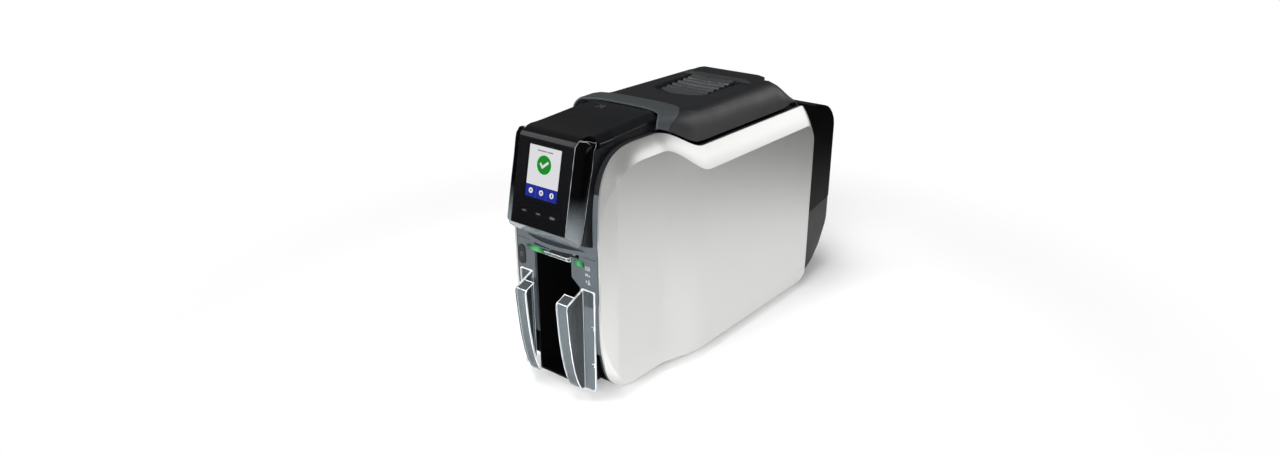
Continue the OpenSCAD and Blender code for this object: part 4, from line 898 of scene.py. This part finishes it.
def on_door(x, up, lift):
    """x and height above the lip in mm along the face, lift off it in mm."""
    return door_lip + (face_across * x + face_up * up + face_out * lift) / 1000


def ring_points(x, y, radius, count=40):
    return [
        (x + radius * math.cos(2 * math.pi * i / count),
         y + radius * math.sin(2 * math.pi * i / count))
        for i in range(count)
    ]


def block_points(x0, y0, x1, y1, corner_radius=0.0):
    if not corner_radius:
        return [(x0, y0), (x1, y0), (x1, y1), (x0, y1)]
    points = []
    for cx, cy, start in ((x1, y1, 0), (x0, y1, 90), (x0, y0, 180), (x1, y0, 270)):
        cx += -corner_radius if cx == x1 else corner_radius
        cy += -corner_radius if cy == y1 else corner_radius
        for i in range(ARC_STEPS + 1):
            angle = math.radians(start + 90 * i / ARC_STEPS)
            points.append((cx + corner_radius * math.cos(angle),
                           cy + corner_radius * math.sin(angle)))
    return points


def print_marks(name, outlines, lift, surface, material, body):
    """Fills each outline as a flat face on a surface; a pair (outer, inner) makes a ring."""
    builder = bmesh.new()
    for outline in outlines:
        if isinstance(outline, tuple):
            outer = [builder.verts.new(surface(x, y, lift)) for x, y in outline[0]]
            inner = [builder.verts.new(surface(x, y, lift)) for x, y in outline[1]]
            for i in range(len(outer)):
                k = (i + 1) % len(outer)
                builder.faces.new((outer[i], outer[k], inner[k], inner[i]))
        else:
            builder.faces.new([builder.verts.new(surface(x, y, lift)) for x, y in outline])
    return add_piece(name, builder, material, body)


def screen_light(name, colour, strength):
    """A backlit panel; its 0.15 mm pixels are drawn 0.6 mm wide so that they show."""
    material, tree, output = start_material(name)
    place = add_node(tree, "ShaderNodeTexCoord")
    pixels = add_node(tree, "ShaderNodeTexVoronoi", {"distance": "CHEBYCHEV"}, inputs={
        "Vector": place.outputs["Object"], "Scale": per_metre(1, 0.625), "Randomness": 0.0,
    })
    level = add_node(tree, "ShaderNodeMapRange", inputs={
        "Value": pixels.outputs["Distance"], "To Min": strength, "To Max": strength * 0.9,
    })
    shader = add_node(tree, "ShaderNodeBsdfPrincipled", inputs={
        "Base Color": linear_colour("#08080A"), "Roughness": 0.2,
        "Emission Color": linear_colour(colour), "Emission Strength": level.outputs["Result"],
    })
    tree.links.new(shader.outputs["BSDF"], output.inputs["Surface"])
    return material


screen_white = screen_light("screen_white", "#E9E9EC", 0.9)
screen_blue = screen_light("screen_blue", "#1B2A96", 0.9)
screen_pale_blue = screen_light("screen_pale_blue", "#3D53C4", 0.9)
screen_green = screen_light("screen_green", "#148A1E", 0.95)
screen_halo = screen_light("screen_halo", "#C9F0CE", 0.95)

picture = (
    ("picture_field", [block_points(-19.5, 39.7, 19.5, 76.2)], 0.03, screen_white),
    ("picture_bar", [block_points(-19.5, 28.0, 19.5, 39.7)], 0.03, screen_blue),
    ("picture_bar_lines", [block_points(-6.7, 28.0, -6.3, 39.7),
                           block_points(6.3, 28.0, 6.7, 39.7)], 0.06, screen_pale_blue),
    ("picture_halo", [(ring_points(0, 59.8, 9.6), ring_points(0, 59.8, 8.6))], 0.06, screen_halo),
    ("picture_disc", [ring_points(0, 59.8, 8.7)], 0.08, screen_green),
    ("picture_tick", [[(-5.6, 60.2), (-3.9, 61.6), (-1.7, 59.0),
                       (4.4, 63.8), (5.8, 62.0), (-1.9, 55.9)]], 0.11, screen_white),
    ("picture_signs", [ring_points(x, 34.0, 2.6) for x in (-13, 0, 13)], 0.06, screen_white),
    ("picture_sign_fills", [block_points(-14.0, 33.4, -12.0, 34.6), ring_points(0, 34.0, 1.0),
                            block_points(12.4, 32.6, 13.6, 35.4)], 0.09, screen_blue),
    ("picture_heading", [block_points(-9.5, 71.4, 2.0, 72.6), block_points(3.0, 71.4, 9.5, 72.6)],
     0.06, screen_light("screen_grey", "#8E9096", 0.9)),
)
for name, outlines, lift, material in picture:
    print_marks(name, outlines, lift - PICTURE_SINK, on_door, material, "door")
print("layers in the picture:", len(picture))

# %% [markdown]
# ## Printed marks
#
# Small signs are pad printed in grey ink on the fascia, the power button
# and the head, and the menu buttons carry one or two strokes each. Pad ink
# is a few hundredths of a millimetre thick and slightly matt. All of them
# are generic: a card, a stack of cards, bars, an arrow and a ring.

# %% Print the marks
HEAD_TOP = 267.55                  # mm above the floor
KEY_ROW, KEY_LIFT = 14.3, 0.64     # mm up the face from the lip, and off the face


def on_fascia(x, z, lift):
    return part_point(x, -lift, z)


def on_head(x, y, lift):
    return part_point(x, y, HEAD_TOP + lift)


pad_ink = moulded_abs("pad_ink", "#94979A", 0.55, 0.4, 0.05)
faded_ink = moulded_abs("faded_ink", "#5B5D60", 0.55, 0.4, 0.05)

card_sign = [(block_points(36.4, 138.0, 42.2, 141.8, 0.6),
              block_points(37.0, 138.6, 41.6, 141.2, 0.4)),
             block_points(37.8, 139.2, 39.2, 140.6), block_points(39.8, 139.2, 41.0, 140.6)]
bar_sign = [block_points(36.6, 132.0, 38.2, 134.6), block_points(38.8, 132.0, 39.8, 134.6),
            block_points(40.4, 132.0, 42.2, 133.4)]
arrow_sign = [[(36.6, 127.4), (37.4, 128.2), (39.0, 126.4),
               (37.4, 124.8), (36.6, 125.6), (37.5, 126.4)],
              [(40.2, 128.6), (41.4, 128.6), (41.4, 126.4),
               (42.8, 123.8), (38.9, 123.8), (40.2, 126.4)]]
print_marks("status_marks", card_sign + bar_sign + arrow_sign, 0.04, on_fascia, pad_ink,
            "housing")


def key_marks(offset, outlines):
    return [[(x + offset, y + KEY_ROW) for x, y in outline] for outline in outlines]


for name, offset, outlines in (
    ("left", -17.5, [[(-2.4, 0.4), (1.6, 0.4), (1.6, -0.3), (-2.4, -0.3)]]),
    ("middle", 0.0, [[(-2.0, 0.4), (2.0, 0.4), (2.0, -0.3), (-2.0, -0.3)]]),
    ("right", 17.5, [[(-2.6, 0.9), (2.6, 0.9), (2.6, 0.3), (-2.6, 0.3)],
                     [(-2.6, -0.3), (2.6, -0.3), (2.6, -0.9), (-2.6, -0.9)]]),
):
    print_marks("menu_mark_" + name, key_marks(offset, outlines), KEY_LIFT, on_door, faded_ink,
                "menu_" + name)

power_low, power_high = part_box("power_button")
power_x = (power_low[0] + power_high[0]) * 500
power_z = (power_low[2] + power_high[2]) * 500
power_front = -(power_low[1] * 1000 + FASCIA_Y)
power_sign = [
    (ring_points(power_x, power_z, 2.1), ring_points(power_x, power_z, 1.7)),
    block_points(power_x - 0.25, power_z + 0.3, power_x + 0.25, power_z + 2.9),
]
print_marks("power_mark", power_sign, power_front + 0.04, on_fascia, faded_ink,
            "power")

stack_sign = [
    (block_points(-19.0, 82.0, -11.0, 87.0, 0.8), block_points(-18.4, 82.6, -11.6, 86.4, 0.5)),
    block_points(-18.2, 88.2, -11.8, 88.7), block_points(-17.4, 89.6, -12.6, 90.1),
]
print_marks("card_mark", stack_sign, 0.04, on_head, faded_ink, "housing")
print("marks printed")

# %% [markdown]
# ## Floor
#
# A product picture on white needs a white floor that still takes a shadow.
# The floor is pale and diffuse near the printer, where its shadow falls,
# and turns into a plain white glow further out, where it has to meet the
# backdrop. In reflections alone that glow fades with distance, a painted
# reflection of a lit sweep in a dark studio, and it stops beside the
# printer, where a real floor lies in shadow. The silver panels get their
# light and dark from this painted reflection.

# %% Build the floor
SHADE_NEAR, SHADE_FAR, NEAR_GLOW = 0.2, 0.65, 0.15   # metres from the middle, share
MIRROR_NEAR, MIRROR_FAR = 0.3, 0.86
MIRROR_BRIGHT, MIRROR_DIM, MIRROR_SHARE = 0.95, 0.02, 0.9
SHADOW_EDGE = 0.025                                  # metres beside the printer
FLOOR_REACH, FLOOR_GAP = 4.0, 0.0002                 # metres out, and under the feet
floor_mesh = bpy.data.meshes.new("studio_floor")
floor_builder = bmesh.new()
bmesh.ops.create_grid(floor_builder, x_segments=8, y_segments=8, size=FLOOR_REACH)
floor_builder.to_mesh(floor_mesh)
floor_builder.free()
studio_floor = bpy.data.objects.new("studio_floor", floor_mesh)
scene.collection.objects.link(studio_floor)
studio_floor.location.z = cad_low[2] - FLOOR_GAP

floor_paint, floor_tree, floor_output = start_material("floor_paint")
floor_ray = add_node(floor_tree, "ShaderNodeLightPath")
seen = add_node(floor_tree, "ShaderNodeMath", {"operation": "MAXIMUM"}, {
    0: floor_ray.outputs["Is Camera Ray"], 1: floor_ray.outputs["Is Transmission Ray"],
})
floor_place = add_node(floor_tree, "ShaderNodeTexCoord")
from_middle = add_node(floor_tree, "ShaderNodeVectorMath", {"operation": "LENGTH"}, {
    0: floor_place.outputs["Object"],
})
far_away = add_node(floor_tree, "ShaderNodeMapRange", {"interpolation_type": "SMOOTHSTEP"}, {
    "Value": from_middle.outputs["Value"], "From Min": SHADE_NEAR, "From Max": SHADE_FAR,
    "To Min": NEAR_GLOW, "To Max": 1.0,
})
seen_share = add_node(floor_tree, "ShaderNodeMath", {"operation": "MULTIPLY"}, {
    0: seen.outputs["Value"], 1: far_away.outputs["Result"],
})
beside = add_node(floor_tree, "ShaderNodeVectorMath", {"operation": "ABSOLUTE"}, {
    0: floor_place.outputs["Object"],
})
outside = add_node(floor_tree, "ShaderNodeVectorMath", {"operation": "SUBTRACT"}, {
    0: beside.outputs["Vector"], 1: (cad_high[0], cad_high[1], 0),
})
outside_parts = add_node(floor_tree, "ShaderNodeSeparateXYZ", inputs={
    "Vector": outside.outputs["Vector"],
})
clear_of_box = add_node(floor_tree, "ShaderNodeMath", {"operation": "MAXIMUM"}, {
    0: outside_parts.outputs["X"], 1: outside_parts.outputs["Y"],
})
open_floor = add_node(floor_tree, "ShaderNodeMapRange", inputs={
    "Value": clear_of_box.outputs["Value"], "From Min": 0.0, "From Max": SHADOW_EDGE,
    "To Min": 0.0, "To Max": MIRROR_SHARE,
})
mirrored_share = add_node(floor_tree, "ShaderNodeMath", {"operation": "MULTIPLY"}, {
    0: floor_ray.outputs["Is Glossy Ray"], 1: open_floor.outputs["Result"],
})
glow_share = add_node(floor_tree, "ShaderNodeMath", {"operation": "MAXIMUM"}, {
    0: seen_share.outputs["Value"], 1: mirrored_share.outputs["Value"],
})
# Painted reflection: seen only in reflections, the floor's glow dims with distance from the
# printer.
painted_reflection_fade = add_node(floor_tree, "ShaderNodeMapRange", {"interpolation_type": "SMOOTHSTEP"}, {
    "Value": from_middle.outputs["Value"], "From Min": MIRROR_NEAR, "From Max": MIRROR_FAR,
    "To Min": MIRROR_BRIGHT, "To Max": MIRROR_DIM,
})
glow_level = add_node(floor_tree, "ShaderNodeMix", inputs={
    "Factor": floor_ray.outputs["Is Glossy Ray"], "A": 1.0, "B": painted_reflection_fade.outputs["Result"],
})
floor_diffuse = add_node(floor_tree, "ShaderNodeBsdfDiffuse", inputs={
    "Color": linear_colour("#FAFAFA"),
})
floor_glow = add_node(floor_tree, "ShaderNodeEmission", inputs={
    "Color": (1, 1, 1, 1), "Strength": glow_level.outputs["Result"],
})
floor_mix = add_node(floor_tree, "ShaderNodeMixShader", inputs={"Fac": glow_share.outputs["Value"]})
floor_tree.links.new(floor_diffuse.outputs["BSDF"], floor_mix.inputs[1])
floor_tree.links.new(floor_glow.outputs["Emission"], floor_mix.inputs[2])
floor_tree.links.new(floor_mix.outputs["Shader"], floor_output.inputs["Surface"])
floor_mesh.materials.append(floor_paint)
print("floor", round(floor_mesh.vertices[-1].co.x * 2, 1), "m across")

# %% [markdown]
# ## Backdrop
#
# The world is white to the camera and through clear plastic. It gives only
# a little light to the object and only a trace in reflections, because the
# black covers would turn grey if they mirrored a white room.

# %% Build the backdrop
ROOM_MIRRORED, ROOM_LIGHT = 0.03, 0.05
world = bpy.data.worlds.new("studio")
scene.world = world
world.use_nodes = True
world_tree = world.node_tree
world_tree.nodes.clear()
world_ray = add_node(world_tree, "ShaderNodeLightPath")
world_seen = add_node(world_tree, "ShaderNodeMath", {"operation": "MAXIMUM"}, {
    0: world_ray.outputs["Is Camera Ray"], 1: world_ray.outputs["Is Transmission Ray"],
})
world_mirrored = add_node(world_tree, "ShaderNodeMath", {"operation": "MULTIPLY"}, {
    0: world_ray.outputs["Is Glossy Ray"], 1: ROOM_MIRRORED,
})
world_share = add_node(world_tree, "ShaderNodeMath", {"operation": "MAXIMUM"}, {
    0: world_seen.outputs["Value"], 1: world_mirrored.outputs["Value"],
})
dim_room = add_node(world_tree, "ShaderNodeBackground", inputs={
    "Color": (1, 1, 1, 1), "Strength": ROOM_LIGHT,
})
white_room = add_node(world_tree, "ShaderNodeBackground", inputs={
    "Color": (1, 1, 1, 1), "Strength": 1.0,
})
world_mix = add_node(world_tree, "ShaderNodeMixShader", inputs={
    "Fac": world_share.outputs["Value"],
})
world_tree.links.new(dim_room.outputs["Background"], world_mix.inputs[1])
world_tree.links.new(white_room.outputs["Background"], world_mix.inputs[2])
world_output = add_node(world_tree, "ShaderNodeOutputWorld")
world_tree.links.new(world_mix.outputs["Shader"], world_output.inputs["Surface"])
print("world nodes:", len(world_tree.nodes))

# %% [markdown]
# ## Lamps
#
# Six large soft lamps stand round the printer. One behind it on the right
# draws the bright band along the panel's rim, one fills from the left, and
# a weak one stands at the right. The front has two in one place: a strong
# one that only lights, and a weak one that also shows as a card in the
# gloss. The overhead lamp only lights as well, or it would burn out the
# rolled band.

# %% Place the lamps
def soft_light(name, place, size, watts, spread=180, aim=(0.0, 0.0, 0.13), mirrored=True):
    data = bpy.data.lights.new(name, "AREA")
    data.shape = "RECTANGLE"
    data.size, data.size_y = size
    data.energy = watts
    data.spread = math.radians(spread)
    light = bpy.data.objects.new(name, data)
    scene.collection.objects.link(light)
    light.location = place
    toward = Vector(place) - Vector(aim)
    light.rotation_euler = toward.to_track_quat("Z", "Y").to_euler()
    light.visible_glossy = mirrored
    return light


soft_light("overhead_light", (-0.1, -0.2, 1.2), (0.7, 0.7), 2.9, spread=75, mirrored=False)
soft_light("band_light", (0.8, 1.35, 0.56), (1.3, 0.92), 1.35, spread=85)
soft_light("right_light", (1.5, -0.3, 0.5), (0.9, 0.6), 0.6, spread=100)
soft_light("front_light", (0.5, -1.6, 0.5), (1.0, 0.7), 14.0, spread=100, mirrored=False)
soft_light("front_card", (0.5, -1.6, 0.5), (1.0, 0.7), 3.0, spread=100)
soft_light("fill_light", (-0.95, -0.8, 1.15), (0.9, 0.9), 3.2)
scene.view_settings.view_transform = "Standard"
